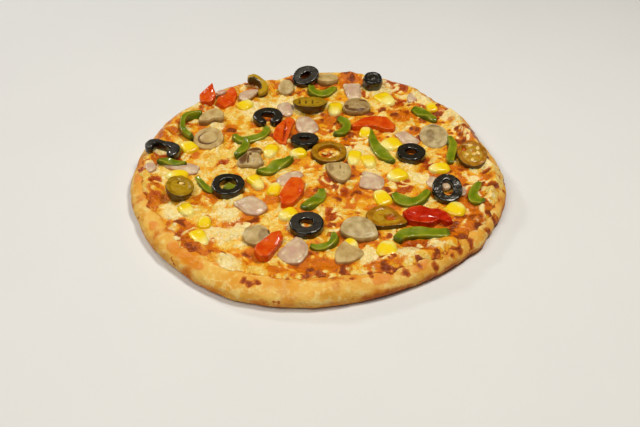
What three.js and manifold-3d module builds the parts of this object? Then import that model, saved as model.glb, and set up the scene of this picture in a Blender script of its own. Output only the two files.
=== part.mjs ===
// A small vegetarian pizza: a round crust with a raised rim, one sheet of melted cheese with
// sweetcorn set in it, and loose toppings lying on the cheese. Millimetres, +Z up, with the
// origin at the centre of the flat underside.
import * as THREE from 'three';
import { mergeVertices } from 'three/addons/utils/BufferGeometryUtils.js';
import Module from 'manifold-3d';

const wasm = await Module();
wasm.setup();

// Driving dimensions of the crust
const PIZZA_RADIUS = 101.5;
const DOUGH_THICKNESS = 5.5;
const RIM_HEIGHT = 9;
const BELLY_HEIGHT = 3.6;
const BASE_SHARE = 0.965;
const RIM_FOOT = 0.86;
const RIM_CREST = 0.935;
const RIM_SIDES = 64;
const CREST_ROLL = { height: 0.7, wave: 42, phase: 3 };

// Driving dimensions of the cheese and of what lies on it
const CHEESE_THICKNESS = 2.2;
const CHEESE_EDGE_THICKNESS = 1;
const CHEESE_EDGE_TAPER = 0.05;
const CHEESE_CELLS = 20;
const CHEESE_ROLLS = [{ height: 0.45, wave: 34, phase: 1 }, { height: 0.3, wave: 15, phase: 2 }];
const EDGE_CROWDING = 0.55;
const GAP = 0.3;
const SINK = 0.9;
const TOLERANCE = 0.05;

// Where the hand-stretched outline bulges or falls short: degrees, millimetres, spread in degrees
const OUTLINE_SWELLS = [
  [-170, 1.4, 14], [-140, 2, 18], [-112, 3.6, 16], [-88, 0.5, 20], [-68, -2, 14], [-48, -1, 12],
  [-37, 1.4, 4], [-14, 1.6, 14], [15, -3.2, 11], [57, 4.9, 8], [70, 2.6, 9], [84, 2.2, 9],
  [109, -1.3, 8], [126, 2, 9], [140, -1, 6], [150, 1.3, 8],
];

// Bare rim between the cheese and the outline: degrees, millimetres added, spread in degrees
const RIM_MARGIN = 4.5;
const MARGIN_SWELLS = [[-98, 9, 36], [-150, 4, 20], [-62, -2, 10], [10, -1, 40], [90, -0.5, 30]];
const MARGIN_WAVES = [{ height: 0.9, count: 9, phase: 0 }, { height: 0.7, count: 17, phase: 1 }];

// Blisters and lumps in the cheese: x, y, radius, height
const CHEESE_LUMPS = [
  [43, -74, 6, 1.6], [24, -77, 5, 1], [-61, 8, 6, 1.4], [2, -10, 5, 1.3], [-46, -3, 5, 1],
  [86, 33, 6, 1.8], [80, 43, 6, 1.5], [92, 20, 4.5, 1.4], [93, -13, 4.5, 1.5], [92, -26, 4.5, 1.4],
  [78, -64, 5.5, 1.6], [53, 39, 5, 1.4], [17, 92, 5.5, 1.8], [21, 94, 4, 1.4], [-31, 84, 7, 1.2],
  [56, -83, 5, 1], [39, -85, 4, 1], [-40, -87, 7, 1], [-57, -75, 7, 1], [-43, -62, 7, 1],
  [-54, -40, 5, 1.2], [-76, -50, 7, 1], [-88, -20, 6, 1], [-50, 48, 8, 0.8], [75, -50, 7, 1],
  [60, 62, 6, 1.2], [-90, 42, 5, 1.2], [13, -85, 6, 1], [72, 54, 5, 1.2], [-79, 26, 6, 1],
];

const RADIANS = Math.PI / 180;
const FULL_TURN = 2 * Math.PI;

// Sum of bell-shaped swells round the pizza, in the swells' own unit
function swell(swells, degrees) {
  return swells.reduce((sum, [at, amount, spread]) => {
    const away = ((degrees - at + 540) % 360) - 180;
    return sum + amount * Math.exp(-((away / spread) ** 2));
  }, 0);
}

function outline(degrees) {
  return PIZZA_RADIUS + swell(OUTLINE_SWELLS, degrees);
}

// Share of the outline's radius that the cheese reaches
function cheeseReach(degrees) {
  const margin = MARGIN_WAVES.reduce(
    (sum, { height, count, phase }) => sum + height * Math.sin(count * degrees * RADIANS + phase),
    RIM_MARGIN + swell(MARGIN_SWELLS, degrees),
  );
  return 1 - margin / outline(degrees);
}

function smooth(from, to, value) {
  return THREE.MathUtils.smoothstep(value, from, to);
}

// Rolling unevenness of a hand-made surface: crossing waves that add up to about one height
function roll(x, y, { height, wave, phase }) {
  let sum = 0;
  for (let i = 0; i < 5; i++) {
    const heading = phase + i * 2.4;
    const along = x * Math.cos(heading) + y * Math.sin(heading);
    sum += Math.sin((FULL_TURN * along) / (wave * (1 + 0.23 * i)) + phase * (i + 1) * 1.7);
  }
  return (height * sum) / 3;
}

function polar(x, y) {
  const degrees = Math.atan2(y, x) / RADIANS;
  return { degrees, share: Math.hypot(x, y) / outline(degrees) };
}

// Height of the dough's upper face, from the flat middle over the crest to the belly of the rim
function crustTop(x, y) {
  const { degrees, share } = polar(x, y);
  const crest = RIM_HEIGHT + roll(x, y, CREST_ROLL);
  if (share <= RIM_CREST) {
    return THREE.MathUtils.lerp(DOUGH_THICKNESS, crest, smooth(RIM_FOOT, RIM_CREST, share));
  }
  const over = Math.min(1, (share - RIM_CREST) / (1 - RIM_CREST));
  return BELLY_HEIGHT + (crest - BELLY_HEIGHT) * Math.sqrt(1 - over * over);
}

function cheeseTop(x, y) {
  const { degrees, share } = polar(x, y);
  const inside = smooth(0, CHEESE_EDGE_TAPER, cheeseReach(degrees) - share);
  const thickness = THREE.MathUtils.lerp(CHEESE_EDGE_THICKNESS, CHEESE_THICKNESS, inside);
  const relief = CHEESE_ROLLS.reduce((sum, waves) => sum + roll(x, y, waves), 0);
  const lumps = CHEESE_LUMPS.reduce((sum, [lumpX, lumpY, radius, height]) => {
    const away = Math.hypot(x - lumpX, y - lumpY) / radius;
    return sum + height * Math.exp(-2 * away * away);
  }, 0);
  return crustTop(x, y) + GAP + thickness + inside * (relief + lumps);
}

// A closed mesh of shared vertices, without its collapsed triangles, as a solid
function solidOf(geometry) {
  const bare = new THREE.BufferGeometry();
  bare.setAttribute('position', geometry.getAttribute('position'));
  bare.setIndex(geometry.getIndex());
  const merged = mergeVertices(bare, 1e-4);
  const index = merged.getIndex().array;
  const triangles = [];
  for (let i = 0; i < index.length; i += 3) {
    const [a, b, c] = [index[i], index[i + 1], index[i + 2]];
    if (a !== b && b !== c && c !== a) triangles.push(a, b, c);
  }
  return new wasm.Manifold(new wasm.Mesh({
    numProp: 3,
    vertProperties: new Float32Array(merged.getAttribute('position').array),
    triVerts: new Uint32Array(triangles),
    tolerance: TOLERANCE,
  }));
}

function geometryOf(solid) {
  const mesh = solid.getMesh();
  const geometry = new THREE.BufferGeometry();
  geometry.setAttribute('position', new THREE.BufferAttribute(new Float32Array(mesh.vertProperties), 3));
  geometry.setIndex(new THREE.BufferAttribute(new Uint32Array(mesh.triVerts), 1));
  geometry.computeVertexNormals();
  return geometry;
}

function largestBody(solid) {
  return solid.decompose().reduce((best, body) => (body.volume() > best.volume() ? body : best));
}

function moveVertices(geometry, mover) {
  const position = geometry.getAttribute('position');
  const point = new THREE.Vector3();
  for (let i = 0; i < position.count; i++) {
    point.fromBufferAttribute(position, i);
    mover(point);
    position.setXYZ(i, point.x, point.y, point.z);
  }
  return geometry;
}

// A turned form about +Z from a profile of [share of the radius, height]
function turned(profile, sides) {
  const points = profile.map(([share, height]) => new THREE.Vector2(share, height));
  return new THREE.LatheGeometry(points, sides).rotateX(Math.PI / 2);
}

// The profile's heights are shares of the belly's height, and UPPER stands for the upper face
function crustSolid() {
  const UPPER = 2;
  const profile = [
    [0, 0], [BASE_SHARE, 0], [0.99, 0.3], [1, 1], [0.985, UPPER], [0.965, UPPER], [RIM_CREST, UPPER],
    [0.9, UPPER], [RIM_FOOT, UPPER], [0, UPPER],
  ];
  const geometry = turned(profile, RIM_SIDES);
  return solidOf(moveVertices(geometry, (point) => {
    const degrees = Math.atan2(point.y, point.x) / RADIANS;
    const reach = outline(degrees);
    point.x *= reach;
    point.y *= reach;
    point.z = point.z === UPPER ? crustTop(point.x, point.y) : point.z * BELLY_HEIGHT;
  }));
}

// Polar place of a point of the square from -1 to 1, with its rings of squares drawn out to circles
function squareToDisc(x, y) {
  const share = Math.max(Math.abs(x), Math.abs(y));
  if (share === 0) return { share: 0, degrees: 0 };
  const degrees = Math.abs(x) >= Math.abs(y)
    ? 45 * (y / x) + (x < 0 ? 180 : 0)
    : 90 - 45 * (x / y) + (y < 0 ? 180 : 0);
  return { share, degrees };
}

function cheeseSolid(crust) {
  const geometry = new THREE.BoxGeometry(2, 2, 1, CHEESE_CELLS, CHEESE_CELLS, 1);
  const sheet = solidOf(moveVertices(geometry, (point) => {
    const { share, degrees } = squareToDisc(point.x, point.y);
    const inwards = 1 - share;
    const crowded = 1 - inwards * (EDGE_CROWDING + (1 - EDGE_CROWDING) * inwards);
    const reach = outline(degrees) * cheeseReach(degrees) * crowded;
    point.x = reach * Math.cos(degrees * RADIANS);
    point.y = reach * Math.sin(degrees * RADIANS);
    point.z = point.z > 0 ? cheeseTop(point.x, point.y) : DOUGH_THICKNESS - 1;
  }));
  return largestBody(sheet.subtract(crust.translate([0, 0, GAP])));
}

// Profiles of a slice: [share of its outline, share of its thickness], from below to above
const PILLOW = [[0, 0], [0.9, 0], [1, 0.45], [0.85, 1], [0, 1.04]];
const FLAT = [[0, 0], [0.95, 0], [1, 0.6], [0.94, 1], [0, 1]];
const BUTTON = [[0, 0], [0.95, 0], [1, 0.5], [0.95, 1], [0.72, 1], [0.66, 0.84], [0, 1]];
const BOWL = [[0, 0], [0.92, 0], [1, 0.6], [0.92, 1], [0.74, 0.95], [0.66, 0.6], [0, 0.55]];
const DOME = [[0, 0], [0.85, 0], [1, 0.4], [0.85, 0.85], [0.4, 1], [0, 0.8]];
const SLICE_SIDES = 12;

// Section of a ring: [share from its hole to its outline, share of its thickness]
const RING_SECTION = [[0, 0.3], [0.3, 0], [0.85, 0], [1, 0.5], [0.85, 1], [0.15, 1], [0, 0.3]];
const RING_SIDES = 14;

// Sides and steps of a bent strip, how square its section is, and how small it gets at its ends
const STRIP_SIDES = 6;
const STRIP_STEPS = 5;
const STRIP_SQUARENESS = 0.75;
const STRIP_END = 0.62;
const OPEN_RING_STEPS = 9;

// Kernels of sweetcorn
const KERNEL_HEIGHT = 6.2;
const KERNEL_SQUARENESS = 0.72;
const KERNEL_TAPER = 0.22;

function ellipse(centerX, centerY, radiusX, radiusY) {
  const points = [];
  for (let i = 0; i < 8; i++) {
    const angle = (i / 8) * FULL_TURN;
    points.push([centerX + radiusX * Math.cos(angle), centerY + radiusY * Math.sin(angle)]);
  }
  return points;
}

function centerOf(corners) {
  const sum = corners.reduce(([x, y], corner) => [x + corner[0], y + corner[1]], [0, 0]);
  return new THREE.Vector3(sum[0] / corners.length, sum[1] / corners.length, 0);
}

function closedCurve(corners) {
  const points = corners.map(([x, y]) => new THREE.Vector3(x, y, 0));
  if (THREE.ShapeUtils.area(points) < 0) points.reverse();
  return new THREE.CatmullRomCurve3(points, true, 'centripetal');
}

// Leans a piece about its own middle so that its upper face turns towards a heading, then sets
// it on the cheese there
function settle(geometry, center, thickness, { towards = 0, lean = 0, lift = 0 }) {
  const heading = towards * RADIANS;
  const axis = new THREE.Vector3(-Math.sin(heading), Math.cos(heading), 0);
  const turn = new THREE.Quaternion().setFromAxisAngle(axis, lean * RADIANS);
  const base = cheeseTop(center.x, center.y) - SINK + lift;
  return moveVertices(geometry, (point) => {
    point.z -= thickness / 2;
    point.applyQuaternion(turn);
    point.add(center);
    point.z += base + thickness / 2;
  });
}

// A slice drawn out to its corners; bow raises its middle along its length
function slice(piece, grow = 0) {
  const { corners, thickness, profile = PILLOW, bow = 0 } = piece;
  const center = centerOf(corners);
  const curve = closedCurve(corners);
  const geometry = turned(profile, SLICE_SIDES);
  moveVertices(geometry, (point) => {
    const share = Math.hypot(point.x, point.y);
    const around = (Math.atan2(point.y, point.x) / FULL_TURN + 1) % 1;
    const edge = curve.getPoint(around).sub(center);
    const reach = share * (1 + grow / edge.length());
    point.z = THREE.MathUtils.lerp(-grow, thickness + grow, point.z) + bow * (1 - share * share);
    point.x = edge.x * reach;
    point.y = edge.y * reach;
  });
  return solidOf(settle(geometry, center, thickness, piece));
}

// A whole ring: its section runs from the edge of the hole to the outline
function ring(piece, grow = 0) {
  const { at, outer, hole, thickness } = piece;
  const center = new THREE.Vector3(at[0], at[1], 0);
  const section = RING_SECTION.map(([share, height]) => [1 + share, height]);
  const geometry = turned(section, RING_SIDES);
  const turn = (piece.turn ?? 0) * RADIANS;
  moveVertices(geometry, (point) => {
    const share = Math.hypot(point.x, point.y) - 1;
    const angle = Math.atan2(point.y, point.x);
    const radiusX = THREE.MathUtils.lerp(hole[0] - grow, outer[0] + grow, share);
    const radiusY = THREE.MathUtils.lerp(hole[1] - grow, outer[1] + grow, share);
    const [x, y] = [radiusX * Math.cos(angle), radiusY * Math.sin(angle)];
    point.x = x * Math.cos(turn) - y * Math.sin(turn);
    point.y = x * Math.sin(turn) + y * Math.cos(turn);
    point.z = THREE.MathUtils.lerp(-grow, thickness + grow, point.z);
  });
  return solidOf(settle(geometry, center, thickness, piece));
}

// Width of a strip at a share of its length, between its listed widths
function widthAt(widths, share) {
  const place = share * (widths.length - 1);
  const before = Math.min(Math.floor(place), widths.length - 2);
  return THREE.MathUtils.lerp(widths[before], widths[before + 1], place - before);
}

// A strip bent along a path of [x, y, height above the cheese]
function strip(piece, grow = 0) {
  const { path, widths, thickness, lift = 0, steps = STRIP_STEPS } = piece;
  const points = path.map(([x, y, z = 0]) => new THREE.Vector3(x, y, z));
  const curve = new THREE.CatmullRomCurve3(points, false, 'centripetal');
  const geometry = new THREE.CylinderGeometry(1, 1, 1, STRIP_SIDES, steps, false, Math.PI / STRIP_SIDES);
  const square = (value) => Math.sign(value) * Math.abs(value) ** STRIP_SQUARENESS;
  moveVertices(geometry, (point) => {
    const share = THREE.MathUtils.clamp(point.y + 0.5, 0, 1);
    const middle = curve.getPointAt(share);
    const tangent = curve.getTangentAt(share).setZ(0).normalize();
    const atEnd = share < 1e-6 || share > 1 - 1e-6;
    const rounding = atEnd ? STRIP_END : 1;
    const across = square(point.x) * (rounding * widthAt(widths, share) / 2 + grow);
    const above = square(point.z) * (rounding * thickness / 2 + grow);
    const ends = atEnd ? grow * Math.sign(share - 0.5) : 0;
    const base = cheeseTop(middle.x, middle.y) - SINK + lift + middle.z;
    point.x = middle.x + tangent.y * across + tangent.x * ends;
    point.y = middle.y - tangent.x * across + tangent.y * ends;
    point.z = base + thickness / 2 + above;
  });
  return solidOf(geometry);
}

// The path of an open ring, as a strip bent round an ellipse
function openRing({ at, radii, from, to, ...rest }) {
  const path = [];
  for (let i = 0; i < OPEN_RING_STEPS; i++) {
    const angle = THREE.MathUtils.lerp(from, to, i / (OPEN_RING_STEPS - 1)) * RADIANS;
    path.push([at[0] + radii[0] * Math.cos(angle), at[1] + radii[1] * Math.sin(angle)]);
  }
  return { shape: strip, path, steps: OPEN_RING_STEPS, ...rest };
}

// A kernel of corn: a blunt, squarish bead, narrower at its tip
function kernel([x, y, length, width, turn], grow = 0) {
  const geometry = new THREE.SphereGeometry(1, 7, 4);
  const square = (value) => Math.sign(value) * Math.abs(value) ** KERNEL_SQUARENESS;
  const base = cheeseTop(x, y);
  const heading = turn * RADIANS;
  return solidOf(moveVertices(geometry, (point) => {
    const along = square(point.x) * (length / 2 + grow);
    const taper = 1 - KERNEL_TAPER * point.x;
    const across = square(point.z) * (width / 2 + grow) * taper;
    const above = square(point.y) * (KERNEL_HEIGHT / 2 + grow);
    point.x = x + along * Math.cos(heading) + across * Math.sin(heading);
    point.y = y + along * Math.sin(heading) - across * Math.cos(heading);
    point.z = base + above;
  }));
}

// Sweetcorn set in the cheese: x, y, length, width, heading of the narrow tip in degrees
const KERNELS = [
  [-44.5, 60, 11, 9, 50], [-74, 16, 12, 9, 130], [-77, -11, 13, 9, 180], [-27, 11.5, 13, 8, 255],
  [-11.5, 9.5, 10, 8.5, 200], [-33.5, -17, 13, 7.5, 300], [-23.5, -22.5, 11, 7, 80],
  [-15.5, -44, 11, 9, 215], [-68, -40.5, 10.5, 8, 300], [-57.5, -50.5, 9.5, 7, 90],
  [-59, -62.5, 14, 8.5, 300], [10, 56, 14, 9, 265], [41, 67.5, 15, 11, 300], [68.5, 57, 10, 7, 100],
  [27.5, 30.5, 11, 7.5, 80], [41.5, 18.5, 13, 11.5, 210], [20, 5.5, 14, 8, 260],
  [28, 2, 12, 8, 280], [43, -10, 12, 10, 210], [66.5, -5, 12, 8.5, 190], [33.5, -30, 13, 9, 110],
  [71, -40, 11.5, 10.5, 60], [33.5, -71, 12, 10.5, 80], [16.5, -66, 8, 5.5, 310],
];

// Small slivers of onion and pepper that are part of the cheese's surface
const SLIVERS = [
  { shape: slice, corners: [[55, 70], [58, 76], [61, 75], [60, 66], [56, 64]], thickness: 2 },
  { shape: slice, corners: [[60, -20], [58, -15], [61, -11], [65, -13], [64, -20]], thickness: 2 },
  { shape: slice, corners: [[-95, 0], [-91, -1], [-89, -5], [-92, -9], [-95, -6]], thickness: 2 },
  { shape: slice, corners: [[76, -20], [78.5, -21], [78, -27], [76, -28]], thickness: 2 },
  { shape: strip, path: [[-66, -11], [-64, -15.5], [-60, -21.5], [-55, -25.5]], widths: [2, 3.5, 4, 3],
    thickness: 3 },
];

const PEPPERS = {
  pepper_left_upper: { widths: [3, 3.2, 3.2, 3.4, 3], thickness: 6.5,
    path: [[-69, 46], [-75.5, 45.5], [-80, 40], [-79.5, 32.5], [-76.5, 26], [-72, 23]] },
  pepper_vee_a: { widths: [4, 6, 5, 5, 4], thickness: 4,
    path: [[-49, 27.5], [-47, 23.5], [-43, 21.5], [-37, 23.5], [-32, 27], [-30, 31.5], [-31, 36.5]] },
  pepper_vee_b: { widths: [3.5, 4.5, 5, 6], thickness: 4.5, lift: 0.8,
    path: [[-41, 21.5], [-41, 17], [-43, 10.5], [-46, 5]] },
  pepper_left_small: { widths: [7, 5, 4, 3], thickness: 3.5, lift: 1.5,
    path: [[-89.5, 1], [-85, 0.5], [-79, -2], [-72.5, -2.5]] },
  pepper_mid: { widths: [5, 6.5, 7, 6, 4], thickness: 4,
    path: [[-14.5, 5.5], [-17, 2], [-23, -2.5], [-27, -7.5], [-34, -8.5]] },
  pepper_back: { widths: [5, 6, 5.5, 4.5], thickness: 4.5,
    path: [[-5, 80], [-4, 74], [1, 71], [6, 73], [11, 79]] },
  pepper_center_back: { widths: [6, 6, 5, 5, 5], thickness: 4.5,
    path: [[11, 45.5], [15, 42.5], [16.5, 36], [14, 30], [9, 27]] },
  pepper_crescent: { widths: [1.2, 4.5, 6, 7, 5], thickness: 4,
    path: [[30.5, 33], [31, 23], [33.5, 13], [38, 5], [42, 0.5]] },
  pepper_right_back: { widths: [6, 8, 7.5, 6], thickness: 4,
    path: [[56.5, 55], [61, 51.5], [66, 46.5], [69.5, 41.5]] },
  pepper_right_mid: { widths: [4, 5, 5.5, 5], thickness: 4,
    path: [[75.5, 26], [76.5, 18], [75, 8.5], [73, 0]] },
  pepper_right_u: { widths: [5, 6.5, 7, 6, 4], thickness: 4,
    path: [[39.5, -26.5], [43, -32.5], [48, -35], [54, -32], [58.5, -25.5]] },
  pepper_right_c: { widths: [3, 4.5, 5, 6.5, 6], thickness: 4,
    path: [[87, -17.5], [82.5, -24.5], [81.5, -30.5], [84, -35], [86.5, -36]] },
  pepper_front_right: { widths: [5, 6.5, 7, 7, 6.5], thickness: 4.5,
    path: [[38.5, -65], [42, -60.5], [50, -59], [58, -59.5], [65.5, -59.5]] },
  pepper_center_small: { widths: [5, 6, 8, 7], thickness: 4,
    path: [[2, -23], [1, -29], [-4, -35.5], [-8.5, -40]] },
  pepper_front_curl: { widths: [3.5, 4.5, 4, 4, 3], thickness: 4,
    path: [[7, -58.5], [8, -63.5], [5, -68], [0, -69.5], [-4, -68]] },
};

const ONIONS = {
  onion_back_left: { lift: 1.8, bow: 0.6,
    corners: [[-49, 70], [-45, 73], [-41, 75], [-37, 74], [-40, 68.5], [-44.5, 62.5], [-48.5, 63.5]] },
  onion_back_mid: { bow: 0.5,
    corners: [[-25, 60.5], [-20, 64], [-15.5, 60.5], [-14.5, 54.5], [-16, 49], [-20, 48], [-23.5, 53]] },
  onion_back_right: { bow: 0.6,
    corners: [[16, 85], [26.5, 85], [27, 75.5], [26, 68], [18.5, 67.5], [16.5, 76]] },
  onion_center: { bow: 0.8,
    corners: [[-12, 47], [-5.5, 47], [-0.5, 38.5], [0, 33], [-4, 29.5], [-10, 29.5], [-13.5, 37]] },
  onion_mid_right: { bow: 0.6,
    corners: [[44, 29.5], [50, 32.5], [55, 27.5], [58.5, 21.5], [56, 18], [49, 18.5], [46, 25]] },
  onion_left: { bow: 0.6,
    corners: [[-86, -0.5], [-78, 0.5], [-70, 0], [-65.5, -3], [-66.5, -9], [-70, -9.5], [-77, -6],
      [-83, -4]] },
  onion_mid: { bow: 0.5,
    corners: [[-23, -13.5], [-18, -7.5], [-10, -6], [-8, -9.5], [-12, -14], [-18, -19], [-22, -17.5]] },
  onion_mid_left: { bow: 1.2,
    corners: [[-44, -34], [-36.5, -28.5], [-30, -31.5], [-26, -39], [-31, -44.5], [-37, -43], [-43, -37]] },
  onion_center_right: { bow: 0.8,
    corners: [[25, -6.5], [35.5, -13], [35.5, -19.5], [32, -23.3], [22, -20.5], [22.5, -14]] },
  onion_front: { bow: 1,
    corners: [[-10.5, -61.5], [-5, -67], [-5, -74.5], [-9, -80.7], [-16, -80.2], [-20, -74.5], [-16, -67]] },
};

const TOMATOES = {
  tomato_back_left_a: { thickness: 4.5, towards: -90, lean: 16, lift: 0.6,
    corners: [[-73, 64], [-69, 69], [-65.5, 74], [-63, 64], [-65, 58.5], [-71, 58.5]] },
  tomato_back_left_b: { thickness: 4.5, towards: -60, lean: 8, lift: 0.4,
    corners: [[-57, 73], [-53.5, 76.5], [-50.5, 70], [-51.5, 62], [-57, 56.5], [-62.5, 60], [-62, 65],
      [-58, 68]] },
  tomato_center: { thickness: 4,
    corners: [[-17, 45], [-14, 41.5], [-16, 33], [-17.5, 23.5], [-18.5, 17], [-22, 18], [-26.5, 25],
      [-25, 34], [-21, 41]] },
  tomato_right_back: { thickness: 4.5, bow: 0.6,
    corners: [[19.5, 37], [25, 43], [33, 45.5], [40, 44], [45.5, 36], [44, 31], [40, 31], [33, 34.5],
      [26, 34.5], [20, 34]] },
  tomato_mid: { thickness: 4.5, lift: 0.4,
    corners: [[-14.5, -15], [-9, -15.5], [-7, -21], [-9, -31], [-13, -37.5], [-19, -38], [-20.5, -30.5],
      [-18, -23]] },
  tomato_front_right: { thickness: 4.5, bow: 0.4,
    corners: [[43, -44], [47, -40.5], [52, -38.7], [57, -41], [62, -41.5], [67, -46], [68, -51.5],
      [65, -52.5], [62, -49.8], [57, -53.3], [50, -52.5], [45, -50.5]] },
  tomato_front: { thickness: 5, lift: 0.4,
    corners: [[-18.5, -60.5], [-17.3, -66], [-20, -72.5], [-24, -79], [-28, -79], [-31, -74],
      [-27, -67], [-23, -61.5]] },
};

const MUSHROOMS = {
  mushroom_back_left: { thickness: 5.5, towards: -90, lean: 12,
    corners: [[-25, 75], [-25, 80], [-22, 84], [-18, 84], [-15.5, 79], [-17, 73], [-21, 71.5]] },
  mushroom_back: { thickness: 6, profile: FLAT,
    corners: [[-1, 86], [0, 91], [6, 92.5], [12, 90.5], [12.5, 86], [8, 83.5], [2, 83.5]] },
  mushroom_left_upper: { thickness: 5, lift: 0.5, profile: FLAT,
    corners: [[-70.5, 40], [-68.5, 47], [-64, 51], [-59.5, 51], [-56.5, 46.5], [-57, 42], [-62, 41],
      [-65, 38.5], [-70, 38.5]] },
  mushroom_left_disc: { thickness: 4.5, profile: BUTTON, towards: -90, lean: 9,
    corners: ellipse(-63.2, 23.5, 8.8, 9) },
  mushroom_tee: { thickness: 4.5, profile: FLAT,
    corners: [[-44, -4], [-44.5, 1], [-41, 7], [-38.5, 12.5], [-34, 13.5], [-31.5, 11], [-33, 7],
      [-31, 3], [-30, -1.5], [-34, -4.5], [-39, -4]] },
  mushroom_back_right: { thickness: 5,
    corners: [[15, 56], [17, 62.5], [22, 65.5], [28, 64.5], [31, 59.5], [31.5, 54], [27, 50.5],
      [20, 50], [16, 52]] },
  mushroom_right_disc: { thickness: 3, profile: FLAT, towards: -90, lean: 11, lift: 0.8,
    corners: ellipse(67, 26, 8.4, 10) },
  mushroom_center: { thickness: 4.5, profile: FLAT,
    corners: [[4, -3], [4.5, -7], [8, -14.5], [13, -18.3], [17, -14], [18, -7], [16.5, -3], [10, -1.5]] },
  mushroom_front_left: { thickness: 5, towards: -90, lean: 6, corners: ellipse(-30.5, -61.5, 6.8, 6.8) },
  mushroom_front: { thickness: 6, towards: -80, lean: 8,
    corners: [[11, -56], [14, -51.5], [20, -50], [26, -52.5], [29, -58], [29.5, -62.5], [24, -64.5],
      [17, -64], [12, -61]] },
  mushroom_front_right: { thickness: 4, profile: FLAT,
    corners: [[13.5, -65], [17, -68], [22.3, -73.7], [17, -79.2], [9, -80.2], [8.5, -73], [10.5, -68]] },
};

const JALAPENOS = {
  jalapeno_back: { shape: strip, widths: [4, 5, 5, 4.5, 4], thickness: 6,
    path: [[-44.5, 80.5, 3], [-40, 82.5, 2.5], [-35, 80, 1], [-34, 74.5], [-37, 69.5]] },
  jalapeno_mid_back: { thickness: 5, towards: 90, lean: 12, lift: 1.2, corners: ellipse(-5, 57, 11, 9) },
  jalapeno_center: { shape: ring, at: [6, 8.8], outer: [10, 10], hole: [6.3, 6.3], thickness: 4.5 },
  jalapeno_right: { thickness: 5, towards: -90, lean: 11, lift: 1, corners: ellipse(85.5, 5, 8.6, 10) },
  jalapeno_left: { thickness: 6, towards: -20, lean: 12, lift: 0.8, corners: ellipse(-73.5, -26, 7.6, 9.6) },
  jalapeno_front_right: { thickness: 4.5,
    corners: [[24, -46], [28, -40.5], [33, -38.5], [38, -40.5], [42, -46], [45.3, -52], [43, -54],
      [36, -55.3], [30, -55.5], [26, -52.5]] },
};

const OLIVES = {
  olive_back: { at: [-8, 88], outer: [9, 7], hole: [3.4, 1.6], thickness: 6.5, turn: 35, towards: -90,
    lean: 22, lift: 1.5 },
  olive_end: { shape: slice, corners: ellipse(34, 82.5, 6.3, 6), thickness: 9.5, profile: DOME,
    towards: -80, lean: 14 },
  olive_mid_back: openRing({ at: [-30, 45], radii: [6.3, 6.3], from: -72, to: 258, thickness: 5.5,
    widths: [4.5, 5.5, 5.5, 5.5, 5.5, 4.5] }),
  olive_left: openRing({ at: [-87.5, 9.3], radii: [7.2, 6], from: -62, to: 205, thickness: 5,
    widths: [6.5, 6, 5, 5, 4.5], lift: 1 }),
  olive_side: { at: [-7.8, 21], outer: [8.2, 8.2], hole: [2.8, 2.8], thickness: 4.5, towards: 90,
    lean: 10, lift: 0.6 },
  olive_mid_left: { at: [-48, -21.6], outer: [9, 9.2], hole: [4.2, 4.8], thickness: 5.5 },
  olive_mid_right: { at: [52, 8], outer: [8.2, 8.2], hole: [3, 3], thickness: 5.5 },
  olive_right: { at: [68, -26], outer: [8, 9.7], hole: [2.9, 5.4], thickness: 5, towards: -90,
    lean: 12, lift: 1.2 },
  olive_front: { at: [-5.8, -54], outer: [8.8, 8.8], hole: [3.2, 3.2], thickness: 5.5 },
};

function material(color, roughness) {
  return new THREE.MeshStandardMaterial({ color, roughness, metalness: 0 });
}

const MATERIALS = {
  crust: material(0xe3b566, 0.8),
  cheese: material(0xf2d27c, 0.45),
  pepper: material(0x5f8a1e, 0.3),
  onion: material(0xd9c2b4, 0.35),
  tomato: material(0xc8380c, 0.25),
  mushroom: material(0xc9ae82, 0.55),
  jalapeno: material(0x8a8026, 0.35),
  olive: material(0x1b1d1f, 0.2),
};

// Each kind of topping with its pieces, the lowest kinds first
const KINDS = [
  ['onion', ONIONS, { shape: slice, thickness: 2.6 }],
  ['pepper', PEPPERS, { shape: strip }],
  ['tomato', TOMATOES, { shape: slice }],
  ['mushroom', MUSHROOMS, { shape: slice }],
  ['jalapeno', JALAPENOS, { shape: slice, profile: BOWL }],
  ['olive', OLIVES, { shape: ring }],
];

function buildPizza() {
  const pizza = new THREE.Group();
  const add = (name, kind, solid) => {
    const mesh = new THREE.Mesh(geometryOf(solid), MATERIALS[kind]);
    mesh.name = name;
    pizza.add(mesh);
  };

  const crust = crustSolid();
  const cheese = cheeseSolid(crust);
  const raised = [crust.translate([0, 0, GAP]), cheese.translate([0, 0, GAP])];
  const grown = [];
  for (const [kind, pieces, defaults] of KINDS) {
    for (const [name, given] of Object.entries(pieces)) {
      const piece = { ...defaults, ...given };
      const rest = raised.concat(grown).reduce((solid, other) => solid.subtract(other), piece.shape(piece));
      add(name, kind, largestBody(rest));
      grown.push(piece.shape(piece, GAP));
    }
  }

  const clear = (solid) => grown.reduce((rest, other) => rest.subtract(other), solid);
  const beads = KERNELS.map((place) => clear(kernel(place)));
  const bits = SLIVERS.map((piece) => clear(piece.shape(piece)));
  const covered = beads.concat(bits).reduce((sheet, bit) => sheet.add(bit), cheese);
  const topped = covered.subtract(crust.translate([0, 0, GAP]));
  add('crust', 'crust', crust);
  add('cheese', 'cheese', largestBody(topped));
  return pizza;
}

export default buildPizza();
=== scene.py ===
"""The looks of a small vegetarian pizza: a golden crust, melted cheese with sweetcorn, and moist
toppings. Forms are worked out in millimetres, and become metres where a piece is made."""

import itertools

import bpy
import numpy as np
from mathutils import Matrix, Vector, kdtree


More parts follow.
